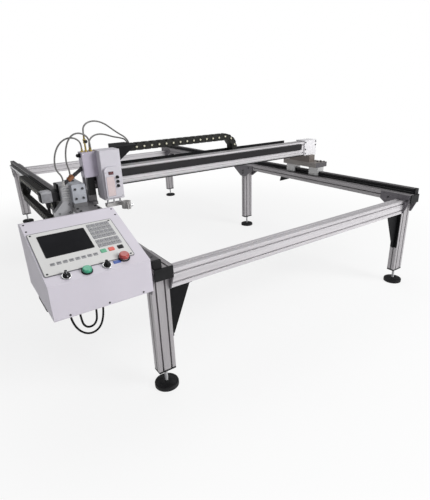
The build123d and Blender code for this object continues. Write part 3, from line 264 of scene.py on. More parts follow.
two_tone_and_shade(motor_paint, "X", -0.958, (0.016, 0.016, 0.018))
head_white = finish("head_white", (0.66, 0.64, 0.69), 0.4, 0.0, 0.03, 8, grain=0.1, grain_scale=1400)
cover_white = finish("cover_white", (0.8, 0.79, 0.81), 0.4, 0.0, 0.03, 8, grain=0.1, grain_scale=1400)
two_tone_and_shade(cover_white, "X", 0.0, (0.014, 0.014, 0.015), above=False)
valve_lilac = finish("valve_lilac", (0.5, 0.46, 0.55), 0.42, 0.0, 0.04, 10, grain=0.1, grain_scale=1400)
window_pink = finish("window_pink", (0.72, 0.6, 0.6), 0.25, 0.0, 0.03, 30, grain=0.02, coat=0.4, worn=0.0)
display_red = finish("display_red", (0.1, 0.022, 0.028), 0.16, 0.0, 0.2, 60, grain=0.0, coat=0.5,
                     worn=0.0)
tube_grey = finish("tube_grey", (0.045, 0.043, 0.046), 0.36, 0.2, 0.2, 50, grain=0.12, gloss=0.35)
brass = finish("brass", (0.52, 0.4, 0.12), 0.3, 0.8, 0.12, 60, grain=0.1)
copper = finish("copper", (0.26, 0.11, 0.05), 0.42, 0.5, 0.2, 60, grain=0.12, worn=0.1)
pin_white = finish("pin_white", (0.62, 0.6, 0.46), 0.45, 0.0, 0.08, 60, grain=0.06, worn=0.0)
print(len(bpy.data.materials), "materials")

# %% [markdown]
# Every CAD piece takes one of these finishes. A dictionary from finish to piece names keeps the list in
# one place, and the last line would name a piece that was forgotten.

# %% Dress the CAD pieces
dressing = {
    profile_x: "cross_beam_near cross_beam_far",
    bridge_lit_top_shaded: "gantry_beam",
    profile_y_shaded: "side_beam_left side_beam_right",
    profile_z: "legs",
    plate_metal_shaded: "leg_head_plates torch_carriage",
    clamp_metal: "torch_holder",
    rack_pale: "torch_rack",
    black_paint: "corner_gussets console_arms long_chain_tray chain_supports chain_arm "
                 "motor_flange",
    black_plastic: "profile_end_caps cable_glands mode_selector height_selector gas_knob "
                   "head_dial_1 head_dial_2 head_dial_3",
    chain_plastic: "long_chain cross_chain",
    rail_steel_shaded_sides: "guide_rails",
    cover_grey: "torch_rail",
    bright_steel: "drive_rack drive_pinion torch_pinion lift_rods clamp_screw",
    dark_steel: "frame_fasteners",
    foot_black: "levelling_feet",
    powder_coat: "console_shell console_base",
    panel_film: "control_panel",
    screen_black: "display_screen",
    key_grey: "keypad",
    motor_paint: "controller_unit drive_motor head_motors",
    hose_rubber: "gas_hose_a gas_hose_b gas_hose_c gas_hose_d",
    cable_rubber: "console_cable_a console_cable_b",
    red_plastic: "stop_button",
    green_plastic: "start_button",
    carriage_grey: "carriage_left",
    carriage_paint: "carriage_right",
    block_steel: "bearing_blocks",
    reducer_paint: "gear_reducer",
    head_white: "head_shell head_panel",
    cover_white: "gantry_end_plates",
    valve_lilac: "valve_box",
    brass: "gas_fittings",
}
for material, names in dressing.items():
    for name in names.split():
        nodes[name].data.materials.clear()
        nodes[name].data.materials.append(material)
bare = sorted(set(nodes) - set(" ".join(dressing.values()).split()))
print("CAD pieces without a finish:", bare)

# %% [markdown]
# ## Hoses and cables
# Four gas hoses bow over the torch head, and two cables hang in loops under the console. Each is one
# smooth NURBS curve with a round section, because a hose has no corners. The route points are those of
# the CAD tubes.


# %% A hose from a route
def hose(name, node, body, points, radius, material):
    """A NURBS curve with the route's points as control points, thickened to a round tube."""
    curve = bpy.data.curves.new(name, "CURVE")
    curve.dimensions = "3D"
    spline = curve.splines.new("NURBS")
    spline.points.add(len(points) - 1)
    spline.points.foreach_set("co", np.c_[np.array(points), np.ones(len(points))].ravel())
    spline.order_u = 3
    spline.use_endpoint_u = True
    spline.resolution_u = 10
    curve.bevel_depth = radius
    curve.bevel_resolution = 4
    curve.use_fill_caps = True
    curve.materials.append(material)
    piece = put(name, curve)
    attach(piece, body)
    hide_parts(node)
    print(name, len(points), "points")
    return piece


# %% The six routes
hose_routes = {
    "gas_hose_a": (0.379, [
        (-0.7665, -0.894, 1.084), (-0.7665, -0.894, 1.106), (-0.7765, -0.892, 1.128),
        (-0.8045, -0.89, 1.145), (-0.8465, -0.888, 1.143), (-0.8865, -0.887, 1.115),
        (-0.9135, -0.887, 1.068), (-0.9245, -0.888, 1.016), (-0.9205, -0.89, 0.976),
        (-0.8965, -0.894, 0.944), (-0.8965, -0.894, 0.917)]),
    "gas_hose_b": (0.381, [
        (-0.7205, -0.907, 1.084), (-0.7205, -0.907, 1.108), (-0.7275, -0.914, 1.137),
        (-0.7495, -0.918, 1.16), (-0.7825, -0.917, 1.17), (-0.8165, -0.914, 1.16),
        (-0.8425, -0.911, 1.128), (-0.8585, -0.908, 1.083), (-0.8645, -0.904, 1.032),
        (-0.8605, -0.898, 0.996), (-0.8528, -0.894, 0.9731), (-0.8528, -0.894, 0.9461)]),
    "gas_hose_c": (0.471, [
        (-0.7445, -0.894, 1.15), (-0.7445, -0.894, 1.175), (-0.7365, -0.886, 1.199),
        (-0.7075, -0.868, 1.218), (-0.6545, -0.839, 1.223), (-0.5885, -0.802, 1.203),
        (-0.5275, -0.769, 1.161), (-0.4795, -0.743, 1.13), (-0.4435, -0.73, 1.11),
        (-0.4205, -0.721, 1.0864), (-0.4115, -0.721, 1.0644)]),
    "gas_hose_d": (0.413, [
        (-0.7165, -0.877, 1.084), (-0.7165, -0.877, 1.106), (-0.7055, -0.871, 1.127),
        (-0.6785, -0.856, 1.143), (-0.6365, -0.833, 1.148), (-0.5845, -0.803, 1.137),
        (-0.5305, -0.768, 1.118), (-0.4825, -0.736, 1.107), (-0.452, -0.715, 1.098),
        (-0.4265, -0.7, 1.0885), (-0.4115, -0.697, 1.0644)]),
}
cable_routes = {
    "console_cable_a": (0.446, [
        (-1.1365, -1.654, 0.58), (-1.1365, -1.654, 0.548), (-1.1365, -1.653, 0.5),
        (-1.1275, -1.652, 0.455), (-1.1075, -1.651, 0.416), (-1.0775, -1.65, 0.391),
        (-1.0455, -1.65, 0.389), (-1.0185, -1.651, 0.408), (-1.0025, -1.652, 0.446),
        (-0.9955, -1.653, 0.495), (-0.9965, -1.654, 0.548), (-0.9965, -1.654, 0.58)]),
    "console_cable_b": (0.318, [
        (-1.0995, -1.674, 0.58), (-1.0995, -1.674, 0.552), (-1.1015, -1.675, 0.52),
        (-1.0995, -1.676, 0.487), (-1.0955, -1.676, 0.458), (-1.0795, -1.676, 0.438),
        (-1.0535, -1.676, 0.438), (-1.0375, -1.676, 0.458), (-1.0335, -1.676, 0.487),
        (-1.0325, -1.675, 0.52), (-1.0345, -1.674, 0.552), (-1.0345, -1.674, 0.58)]),
}
hose_radius = 0.0045
for name, (length, points) in hose_routes.items():
    hose(name + "_tube", name, "torch", points, hose_radius, hose_rubber)
for name, (length, points) in cable_routes.items():
    hose(name + "_loop", name, "frame", points, hose_radius, cable_rubber)

# %% [markdown]
# ## Shapes from arrays
# The small pieces are surfaces worked out with numpy. They could be cut from Blender's own cubes and
# cylinders, but a key, a collar and a link all follow one idea: a ring of points is moved, shrunk or
# turned step by step, and a skin joins each ring to the next. Whole rings are computed at once.


# %% A skin over rings
def loft(rings, closed=False):
    """Quads join ring k to ring k + 1. An open skin gets a cap at each end, a closed one joins up."""
    rings = np.asarray(rings, float)
    count, around = rings.shape[:2]
    index = np.arange(count * around).reshape(count, around)
    low = index if closed else index[:-1]
    high = np.roll(index, -1, axis=0) if closed else index[1:]
    quads = np.stack([low, np.roll(low, -1, axis=1), np.roll(high, -1, axis=1), high], axis=-1)
    groups = [quads.reshape(-1, 4)]
    if not closed:
        groups.append(np.stack([index[0][::-1], index[-1]]))
    return rings.reshape(-1, 3), groups


def circle(around):
    """Points (cos, sin) of evenly spaced angles."""
    angle = np.linspace(0, 2 * np.pi, around, endpoint=False)
    return np.stack([np.cos(angle), np.sin(angle), 0 * angle], axis=-1)


def turned(profile, around=20, closed=False):
    """A lathe shape about Z: each (height, radius) of the profile is a ring of that radius."""
    height, radius = np.array(profile, float).T
    rings = radius[:, None, None] * circle(around) + height[:, None, None] * np.array([0, 0, 1.0])
    return loft(rings, closed)


def collar(inner, outer, height, around=28):
    """A ring with a chamfered rim: up the outside, across the top and down the inside."""
    rim = 0.25 * (outer - inner)
    return turned([(0, outer), (height - rim, outer), (height, outer - rim), (height, inner), (0, inner)],
                  around, closed=True)


# %% [markdown]
# Keys, windows, labels and link plates are rounded rectangles with a worn edge. The outline is four
# quarter circles, written as complex numbers, because a turn by ninety degrees is then a factor of i.


# %% Rounded plates
least_corner = 1e-4


def outline(width, length, corner, steps=4):
    """Four quarter circles of one radius about the corners' centres, joined by straight runs."""
    quarter = corner * np.exp(1j * np.linspace(0, np.pi / 2, steps))
    centre = np.array([1 + 1j, -1 + 1j, -1 - 1j, 1 - 1j])
    middle = centre.real * (width / 2 - corner) + 1j * centre.imag * (length / 2 - corner)
    points = (middle[:, None] + quarter * np.array([1, 1j, -1, -1j])[:, None]).ravel()
    return np.stack([points.real, points.imag, 0 * points.real], axis=-1)


def plate(width, length, corner, profile, steps=4):
    """Each (inset, height) of the profile is the outline, drawn in by the inset and lifted."""
    rings = [outline(width - 2 * inset, length - 2 * inset, max(corner - inset, least_corner), steps)
             + (0, 0, height) for inset, height in profile]
    return loft(rings)


def border(width, length, corner, band, height):
    """A frame round a rectangle: outer wall up, top inwards, inner wall down."""
    outer = outline(width + 2 * band, length + 2 * band, corner + band)
    inner = outline(width, length, corner)
    lift = np.array([0, 0, height])
    return loft([outer, outer + lift, inner + lift, inner], closed=True)


# %% Place, repeat and add
to_front = np.array([(1, 0, 0), (0, 0, 1), (0, -1, 0)], float)
to_left = np.array([(0, -1, 0), (0, 0, 1), (-1, 0, 0)], float)
to_right = np.array([(0, 1, 0), (0, 0, 1), (1, 0, 0)], float)
to_back = np.array([(-1, 0, 0), (0, 0, 1), (0, 1, 0)], float)
downward = np.array([(1, 0, 0), (0, -1, 0), (0, 0, -1)], float)
upright = np.eye(3)
sharp_edge = math.radians(35)


def placed(shape, origin, axes=upright):
    """A shape's own axes become the three rows, and its origin the given point."""
    return np.asarray(origin, float) + shape[0] @ axes, shape[1]


def counted_on(groups, times, size):
    """The face groups of several copies of a shape of `size` points, each with its numbers counted on."""
    step = (np.arange(times) * size)[:, None, None]
    return [(group + step).reshape(-1, group.shape[1]) for group in groups]


def repeated(shape, offsets):
    """One copy of a shape for each offset."""
    offsets = np.asarray(offsets, float)
    points = (shape[0] + offsets[:, None]).reshape(-1, 3)
    return points, counted_on(shape[1], len(offsets), len(shape[0]))


def copies(shape, places, axes):
    """One copy of a shape at each place, with its own axes turned to the three rows."""
    return repeated(placed(shape, (0, 0, 0), axes), places)


def joined(*shapes):
    """Several shapes as one, with the face numbers counted on."""
    start = np.cumsum([0] + [len(shape[0]) for shape in shapes])
    groups = [group + begin for shape, begin in zip(shapes, start) for group in shape[1]]
    return np.concatenate([shape[0] for shape in shapes]), groups


def add_piece(name, shape, material, body, slot, *replaced):
    """A mesh at the origin from a shape, smooth but for its sharp edges, that rides on a body."""
    mesh = bpy.data.meshes.new(name)
    mesh.from_pydata(shape[0].tolist(), [], [face for group in shape[1] for face in group.tolist()])
    mesh.materials.append(material)
    mesh.shade_smooth()
    mesh.set_sharp_from_angle(angle=sharp_edge)
    piece = put(name, mesh)
    if body:
        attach(piece, body)
    if replaced:
        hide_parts(*replaced)
    print(name, len(mesh.polygons), "faces")
    return piece


# %% [markdown]
# ## Console
# The console's sloping face holds a film panel with a screen, thirty keys, eight soft keys and three
# coloured run keys, and below it a row of buttons. Each key is a rounded plate with a crowned top. The
# keys lie on the slope's own axes, so a place is given as millimetres across, up the slope and out of it.

# %% The slope's axes
slope = math.radians(20.85)
on_slope = np.array([(1, 0, 0), (0, math.cos(slope), math.sin(slope)),
                     (0, -math.sin(slope), math.cos(slope))])
slope_corner = np.array([-1.2285, -1.834, 0.74])


def panel_point(across, up, out):
    """The slope's lower left corner plus millimetres along its three axes."""
    return slope_corner + np.stack(np.broadcast_arrays(across, up, out), axis=-1) / 1000 @ on_slope


# %% Keys
film, soft_row, run_row = 3, 105, 113
key_across, key_up, key_gap, soft_across = 19.5, 26, 5, 23.3
crown = [(0.0, 0.0), (0.0, 0.0014), (0.0006, 0.0021), (0.003, 0.0024)]
pad = [(0, 0), (0, 0.0002), (0.001, 0.0003)]
column, row = (grid.ravel() for grid in np.meshgrid(np.arange(5), np.arange(6)))
number_places = panel_point(248 + key_across * column, 148 + key_up * row + key_gap * (row > 1), film)
soft_places = panel_point(50 + soft_across * np.arange(8), soft_row, film)
keys = joined(copies(plate(0.0178, 0.0222, 0.002, crown), number_places, on_slope),
              copies(plate(0.0165, 0.0145, 0.002, crown), soft_places, on_slope))
add_piece("console_keys", keys, key_grey, "frame", "keys", "keypad")
key_top = 0.0023 * on_slope[2]
marks = joined(copies(plate(0.007, 0.006, 0.002, pad), number_places + key_top, on_slope),
               copies(plate(0.01, 0.006, 0.002, pad), soft_places + key_top, on_slope))
add_piece("key_marks", marks, mark_grey, "frame", "keys")
run_key = plate(0.0235, 0.0215, 0.003, crown)
for name, across, material in (("run_key_green", 247, key_green), ("run_key_red", 280, key_red),
                               ("run_key_black", 318, black_plastic)):
    run_place = panel_point(across, run_row, film)
    add_piece(name, placed(run_key, run_place, on_slope), material, "frame", "keys")

# %% [markdown]
# The film panel sits in a shallow frame with a screw near each corner, and the screen behind a dark
# frame of its own. The panel's frame is dark grey, a painted shade for the shade line along the panel's
# edge. A frame is a closed skin: up the outside, across the top and down the inside. A screw head is a
# lathe shape with a dome and a sunken middle, and one function makes them in every size.


# %% Panel frame, screen frame and screws
def screw_heads(places, axes, scale=1.0):
    """A lathe shape at each place: up the rim, over the dome and down into the sunken middle."""
    dome = [(0.0, 0.0042), (0.0008, 0.0042), (0.0018, 0.0034), (0.0022, 0.0016), (0.0016, 0.0014),
            (0.0016, 0.0002)]
    return copies(turned(scale * np.array(dome), 14), places, axes)


panel_middle, screen_middle = (179, 178), (131, 214)
# Painted shade: the panel's frame is dark grey for the shade line along the panel's edge.
panel_frame_shade = placed(border(0.342, 0.256, 0.004, 0.0022, 0.0034), panel_point(*panel_middle, 0), on_slope)
add_piece("panel_frame_shade", panel_frame_shade, mark_grey, "frame", "console")
screen_frame = placed(border(0.182, 0.132, 0.002, 0.003, 0.0008), panel_point(*screen_middle, film),
                      on_slope)
add_piece("screen_frame", screen_frame, black_plastic, "frame", "screen")
corner_places = panel_point(np.array([18, 340, 18, 340]), np.array([60, 60, 296, 296]), film)
shell_places = panel_point(np.array([12, 385, 12, 385]), np.array([332, 332, 378, 378]), 0)
panel_screws = screw_heads(np.concatenate([corner_places, shell_places]), on_slope)
add_piece("panel_screws", panel_screws, dark_steel, "frame", "steel")

# %% [markdown]
# A push button on a machine has a collar screwed to the panel, and the cap moves inside it. The collars
# are rings, so that the moving caps and knobs of the CAD model stay free in the middle. A black strip
# runs under the console's left edge.

# %% Button collars, the blank label and the strip
mode_at, start_at, height_at, button_row = 77, 152, 230, 29
stop_at = (306, 48)
selector_places = panel_point(np.array([mode_at, height_at]), button_row, 0)
chrome_collars = copies(collar(0.0146, 0.0185, 0.005), selector_places, on_slope)
add_piece("selector_collars", chrome_collars, bright_steel, "frame", "steel")
black_collars = joined(
    placed(collar(0.0206, 0.0235, 0.0045), panel_point(*stop_at, 0), on_slope),
    placed(collar(0.0186, 0.0215, 0.0045), panel_point(start_at, button_row, 0), on_slope))
add_piece("button_collars", black_collars, black_plastic, "frame", "black_plastic")
tag = [(0, 0), (0, 0.0006), (0.0004, 0.0008)]
add_piece("blue_label", placed(plate(0.03, 0.017, 0.002, tag), panel_point(272, 36, 0), on_slope),
          label_blue, "frame", "panel_film")
console_front, lip_middle, console_low = -1.834, 0.608, 0.598
lip_places = [(x, console_front, lip_middle) for x in (-1.169, -1.018, -0.875)]
add_piece("console_screws", screw_heads(lip_places, to_front), dark_steel, "frame", "steel")
strip = plate(0.014, 0.14, 0.004, [(0.002, -0.022), (0, -0.019), (0, 0)])
add_piece("console_strip", placed(strip, (-1.2205, -1.63, console_low)), black_plastic, "frame",
          "black_plastic")

# %% [markdown]
# The console's back is not in the picture. A case of this kind has a cover with screws, a row of vents
# and a few round sockets there, so these are laid on as thin plates and lathe shapes.

# %% Back cover, vents and sockets
console_back = -1.4195
cover_thick = 0.0018
cover_face = console_back + cover_thick
cover = plate(0.35, 0.232, 0.006, [(0, 0), (0, 0.0012), (0.0006, cover_thick)])
add_piece("console_back", placed(cover, (-1.03, console_back, 0.7385), to_back), powder_coat, "frame",
          "console")
back_places = [(x, cover_face, z) for x in (-1.195, -1.03, -0.865) for z in (0.632, 0.845)]
add_piece("back_screws", screw_heads(back_places, to_back), dark_steel, "frame", "steel")
vent = plate(0.0045, 0.062, 0.002, [(0, 0), (0, 0.0003), (0.0006, 0.0006)])
vent_places = [(x, cover_face, 0.785) for x in np.linspace(-1.15, -0.91, 21)]
add_piece("back_vents", copies(vent, vent_places, to_back), black_plastic, "frame", "black_plastic")
jack = turned([(0, 0.0135), (0.003, 0.0135), (0.0036, 0.0105), (0.015, 0.0105), (0.016, 0.0092),
               (0.016, 0.006)], 20)
jack_places = [(x, cover_face, 0.68) for x in (-1.13, -1.08, -1.03, -0.96)]
add_piece("back_sockets", copies(jack, jack_places, to_back), bright_steel, "frame", "steel")

# %% [markdown]
# Each selector knob has a lever with a rounded back, one bright and one black. It rides on its own knob,
# so that it turns with the joint. The lever is one profile of half widths and heights, carried along its
# length.


# %% Selector levers
def lever(length, width, height):
    """Rings along Y: each is a half ellipse in X and Z whose size swells to the middle."""
    along = np.linspace(-1, 1, 9)
    size = np.sqrt(1.02 - along ** 2 * 0.85)
    angle = np.linspace(0, np.pi, 9)
    ring = np.stack([np.cos(angle) * width / 2, 0 * angle, np.sin(angle) * height], axis=-1)
    rings = ring * size[:, None, None] + np.array([0, 1, 0]) * (along * length / 2)[:, None, None]
    return loft(rings[:, ::-1])


knob_top = 8.4
for body, across, material in (("mode_selector", mode_at, bright_steel),
                               ("height_selector", height_at, black_plastic)):
    shape = placed(lever(0.027, 0.011, 0.0135), panel_point(across, button_row, knob_top), on_slope)
    add_piece(body + "_lever", shape, material, body, "black_plastic")

# %% [markdown]
# ## Torch head
# The head's raised front panel has a pale window, a small dark red display and three knobs. The window
# and the display are thin rounded plates. A collar round each knob keeps dust from its spindle.

# %% Window, display and knob collars
head_front, head_right, valve_front = -1.0, -0.5815, -0.929
window_place = (-0.661, head_front, 0.869)
pane = [(0, 0), (0, 0.001), (0.0008, 0.0016), (0.002, 0.0016)]
add_piece("head_window", placed(plate(0.046, 0.112, 0.004, pane), window_place, to_front),
          window_pink, "torch", "panel_film")
window_frame = placed(border(0.046, 0.112, 0.004, 0.0012, 0.0012), window_place, to_front)
add_piece("head_window_frame", window_frame, valve_lilac, "torch", "white_paint")
display = placed(plate(0.03, 0.018, 0.002, pane), (-0.654, head_front, 0.944), to_front)
add_piece("head_display", display, display_red, "torch", "screen")
dial_places = [(-0.6195, head_front, z) for z in (0.918, 0.893, 0.868)]
add_piece("dial_collars", copies(collar(0.0076, 0.0098, 0.0016, 24), dial_places, to_front), dark_steel,
          "torch", "steel")

# %% Screws of the head and the valve box
front_places = np.array([(x, head_front, z) for z in (0.808, 0.95) for x in (-0.686, -0.597)]
                        + [(x, valve_front, z) for z in (0.932, 1.056) for x in (-0.774, -0.709)])
side_places = [(head_right, y, z) for y in (-0.968, -0.898) for z in (0.806, 0.93, 1.054)]
head_screws = joined(screw_heads(front_places, to_front, 0.8), screw_heads(side_places, to_right))
add_piece("head_screws", head_screws, bright_steel, "torch", "steel")

# %% [markdown]
# ## Gas fittings
# Four brass posts stand on the valve box, each with a hexagon and a barbed stem for its hose. A dark tube
# is parked at an angle, with a copper union where the second hose joins. A hexagon is a lathe shape with
# six points round, so one function turns both.


# %% Posts
def post(height):
    """A six sided nut, then a stem whose radius steps in and out like barbs, up to the height."""
    nut = turned([(0, 0.0094), (0.0062, 0.0094), (0.0074, 0.0082)], 6)
    rise = np.linspace(0.0072, height, 2 * max(4, int(height / 0.004)))
    barbs = 0.0055 - 0.0009 * (np.arange(len(rise)) % 2)
    return joined(nut, turned(np.stack([rise, barbs], axis=-1), 16))


valve_top, gas_y = 1.064, -0.894
post_places = [(x, y, valve_top) for x, y in ((-0.7665, gas_y), (-0.7205, -0.907), (-0.7165, -0.877))]
cock = turned([(0.0, 0.0082), (0.01, 0.0082), (0.011, 0.005), (0.0135, 0.005)], 12)
body_nut = turned([(-0.012, 0.0075), (-0.01, 0.0088), (0.01, 0.0088), (0.012, 0.0075)], 6)
cock_place = (-0.7445, gas_y, 1.1208)
tall_post = joined(placed(post(0.086), (-0.7445, gas_y, valve_top)), placed(body_nut, cock_place),
                   placed(cock, cock_place, to_front))
add_piece("gas_posts", joined(repeated(post(0.02), post_places), tall_post), brass, "torch", "brass",
          "gas_fittings")

# %% The parked tube and its union
tube_start, tube_end = np.array([-0.7815, gas_y, 0.974]), np.array([-0.8965, gas_y, 0.9])
tube_run = float(np.linalg.norm(tube_end - tube_start))
tube_along = (tube_end - tube_start) / tube_run
tube_axes = np.stack([np.cross((0, 1, 0), tube_along), (0, 1, 0), tube_along])
tube_steps = [(-0.004, 0.0125), (0.01, 0.0125), (0.012, 0.01), (0.046, 0.01), (0.047, 0.0112),
              (0.052, 0.0112), (0.053, 0.01), (tube_run, 0.01), (tube_run + 0.004, 0.007)]
gas_tube = placed(turned(tube_steps, 24), tube_start, tube_axes)
add_piece("gas_tube", gas_tube, tube_grey, "torch", "black_steel")
gland_steps = [(0, 0.0125), (0.007, 0.0125), (0.008, 0.01), (0.016, 0.01), (0.02, 0.0075), (0.022, 0.005)]
gland = placed(turned(gland_steps, 18), (-0.7815, gas_y, 1.046), to_left)
add_piece("valve_gland", gland, black_plastic, "torch", "black_plastic")
union = turned([(0.066, 0.0125), (0.068, 0.0155), (0.102, 0.0155), (0.104, 0.0125)], 6)
stub = turned([(0, 0.0105), (0.01, 0.0105), (0.011, 0.0075), (0.018, 0.0075), (0.0185, 0.006)], 16)
copper_union = joined(placed(union, tube_start, tube_axes), placed(stub, (-0.8528, gas_y, 0.928)))
add_piece("copper_union", copper_union, copper, "torch", "brass")
elbow = turned([(-0.012, 0.007), (-0.01, 0.0105), (0.006, 0.0105), (0.008, 0.008), (0.0165, 0.008),
                (0.017, 0.0065)], 16)
add_piece("tube_elbow", placed(elbow, tube_end), clamp_metal, "torch", "steel")

# %% [markdown]
# ## Gantry drive
# The gear case beside the reducer is ribbed to shed heat, a guard below it covers the pinion, the front
# bolts are dark socket screws, and the motor beyond the flange ends in a black cap. The ribs are one
# rounded bar, repeated up the case.

# %% Reducer ribs and socket screws
case_front, case_back, case_x = -0.88, -0.734, -0.8885
reducer_x, reducer_top = -0.8235, 0.893
rib = plate(0.046, 0.007, 0.002, [(0.0008, 0), (0, 0.0008), (0, 0.0034), (0.0012, 0.0046)])
rib_rise = np.linspace(0.806, 0.878, 6)
ribs = joined(copies(rib, [(case_x, case_front, z) for z in rib_rise], to_front),
              copies(rib, [(case_x, case_back, z) for z in rib_rise], to_back))
add_piece("reducer_ribs", ribs, block_steel, "gantry", "reducer")
socket = collar(0.0036, 0.0064, 0.0012, 18)
bolt_face, bolt_middle = -0.92, 0.839
socket_places = [(reducer_x + x, bolt_face, bolt_middle + z)
                 for x in (-0.021, 0.021) for z in (-0.027, 0.027)]
add_piece("reducer_sockets", copies(socket, socket_places, to_front), dark_steel, "gantry", "steel")
plug = turned([(0, 0.011), (0.003, 0.011), (0.005, 0.009)], 6)
add_piece("reducer_plug", placed(plug, (reducer_x, -0.804, reducer_top)), dark_steel, "gantry", "steel")
guard_places = [(x, case_front, z) for x, z in ((-0.882, 0.778), (-0.882, 0.73), (-0.942, 0.732))]
add_piece("guard_screws", copies(socket, guard_places, to_front), dark_steel, "gantry", "steel")

# %% Motor cap, fins and connectors
motor_low, motor_top, motor_front, motor_back = 0.795, 0.858, -0.8385, -0.7755
cap = plate(0.057, 0.057, 0.01, [(0, 0), (0, 0.004), (0.004, 0.0075), (0.012, 0.009)])
motor_end = (-1.015, -0.807, 0.8265)
add_piece("motor_cap", placed(cap, motor_end, to_left), black_plastic, "gantry", "black_plastic")
fin = plate(0.044, 0.0022, 0.001, [(0, 0), (0, 0.0028), (0.0006, 0.0034)])
fins = joined(copies(fin, [(-0.986, y, motor_top) for y in np.linspace(-0.828, -0.786, 7)], upright),
              copies(fin, [(-0.986, motor_front, z) for z in np.linspace(0.806, 0.847, 7)], to_front))
add_piece("motor_fins", fins, motor_paint, "gantry", "motor")
connector = turned([(0, 0.013), (0.01, 0.013), (0.011, 0.011), (0.022, 0.011), (0.026, 0.007),
                    (0.034, 0.006)], 18)
boot = turned([(0, 0.014), (0.012, 0.014), (0.013, 0.012), (0.03, 0.012), (0.036, 0.009),
               (0.066, 0.008)], 18)
plugs = joined(placed(connector, (-0.99, motor_back, 0.835), to_back),
               placed(boot, (-0.948, -0.812, motor_low), downward),
               placed(boot, (-0.98, -0.8, motor_low), downward))
add_piece("motor_connectors", plugs, black_plastic, "gantry", "black_plastic")

# %% Bolts of the two carriages
left_top, right_top = 0.76, 0.778
left_bolts = [(x, y, left_top) for x in (-0.856, -0.754) for y in (-1.01, -0.95, -0.64, -0.58)]
right_bolts = [(x, y, right_top) for x in (1.176, 1.214) for y in (-0.926, -0.89, -0.618, -0.582)]
top_bolt = joined(collar(0.004, 0.0075, 0.006, 18), turned([(0, 0.0042), (0.003, 0.0042)], 6))
add_piece("carriage_bolts", repeated(top_bolt, left_bolts + right_bolts), dark_steel, "gantry", "steel")

# %% [markdown]
# ## Bridge trim and bolts
# A thin black strip under the bridge's front edge is painted shade for the dark line there, the white
# end block is held by dark screws, and both guide rails are bolted down through holes with dark plugs.
# The strip is a small profile carried along a straight path.

# %% Shade strip, cover screws and rail plugs
section = np.array([(0.0, 0.0, 0.0), (0.0, -0.003, 0.0), (0.0, -0.0042, 0.003), (0.0, -0.003, 0.0065),
                    (0.0, 0.0, 0.0065)])
path = np.linspace(-0.7105, 1.06, 12)
# Painted shade: a black strip for the dark line of shade under the bridge's front edge.
shade_line = section[::-1] + path[:, None, None] * np.array([1.0, 0, 0]) + np.array([0, -0.834, 0.835])
add_piece("bridge_shade_line", loft(shade_line), black_plastic, "gantry", "black_plastic")
cover_right, cover_front = 1.1985, -0.844
end_places = [(cover_right, y, z) for y in (-0.832, -0.756) for z in (0.848, 0.895, 0.942)]
bridge_places = [(x, cover_front, z) for x, z in ((1.073, 0.85), (1.073, 0.884), (1.073, 0.94),
                                                  (1.188, 0.912), (1.188, 0.942))]
cover_screws = joined(screw_heads(end_places, to_right), screw_heads(bridge_places, to_front, 1.6))
add_piece("cover_screws", cover_screws, dark_steel, "gantry", "steel")
disc = turned([(-0.002, 0.0062), (0.0, 0.0062), (0.0003, 0.0054)], 10)
rail_top, plug_pitch = 0.703, 0.09
plug_y = np.arange(-1.73, 1.78, plug_pitch)
plug_places = [(x, y, rail_top) for x in (-0.7805, 1.1675) for y in plug_y]
add_piece("rail_plugs", repeated(disc, plug_places), black_plastic, "frame", "rail")

# %% [markdown]
# ## Levelling feet
# A levelling foot is a rubber pad with a thick rolled rim and a groove, and a bright stud with a lock
# nut. The pad's cover is a lathe shape laid over the CAD cone: up the rim, over the roll, down into the
# groove and up to the neck.

# %% Foot covers
foot_profile = [(0.0005, 0.0604), (0.015, 0.0604), (0.0195, 0.059), (0.0215, 0.055), (0.02, 0.051),
                (0.02, 0.048), (0.0245, 0.036), (0.0268, 0.025), (0.0268, 0.019), (0.0005, 0.019)]
foot_places = [(x, y, 0) for x in (-0.7565, 1.1435) for y in (-1.714, 0.021, 1.756)]
foot_cover = turned(foot_profile, 40, closed=True)
add_piece("foot_covers", repeated(foot_cover, foot_places), foot_black, "frame", "foot")

# %% [markdown]
# ## Energy chains
# An energy chain is a row of plastic links that carries hoses round a bend. Each link has two side
# plates, an upper and a lower lid, and a pin at each joint, which shows as a pale dot. One link is
# modelled flat and then carried to its place by a turn for each link, all at once.


# %% One link
turn_radius, turn_links, link_height = 0.086, 5, 0.045
link_pitch = math.pi * turn_radius / turn_links
side_thick, lid_thick = 0.004, 0.003


def at_joint(shape, width):
    """A shape on both outer faces of a link's joint, the second one turned over."""
    turned_over = np.array([(-1, 0, 0), (0, 1, 0), (0, 0, -1)], float)
    joint, half = link_pitch / 2, width / 2
    return joined(placed(shape, (joint, 0, half)), placed(shape, (joint, 0, -half), turned_over))


def chain_link(width):
    """A flat link: X along the chain, Y up, Z across. Side plates, two lids, and bosses at the joint."""
    side = plate(link_pitch - 0.0014, link_height, 0.011,
                 [(0.0008, 0), (0, 0.0008), (0, 0.0032), (0.0008, side_thick)])
    lid = plate(0.84 * link_pitch, width - 0.01, 0.003,
                [(0, 0), (0, 0.0022), (0.0008, lid_thick)], steps=2)
    lid_axes = np.array([(1, 0, 0), (0, 0, -1), (0, 1, 0)], float)
    boss = turned([(0, 0.0145), (0.001, 0.0145), (0.0016, 0.0135)], 14)
    half = width / 2
    return joined(placed(side, (0, 0, half - side_thick)), placed(side, (0, 0, -half)),
                  placed(lid, (0, link_height / 2 - lid_thick, 0), lid_axes),
                  placed(lid, (0, -link_height / 2, 0), lid_axes), at_joint(boss, width))


def chain_pins(width):
    """The two pale pin ends at a link's joint."""
    return at_joint(turned([(0.0012, 0.0066), (0.0022, 0.0066), (0.003, 0.0048)], 10), width)


# %% [markdown]
# A chain's lower run lies still, its upper run follows the carriage, and the bend moves half as far.
# Each row of links is placed once, and no blend between the two bodies is set.


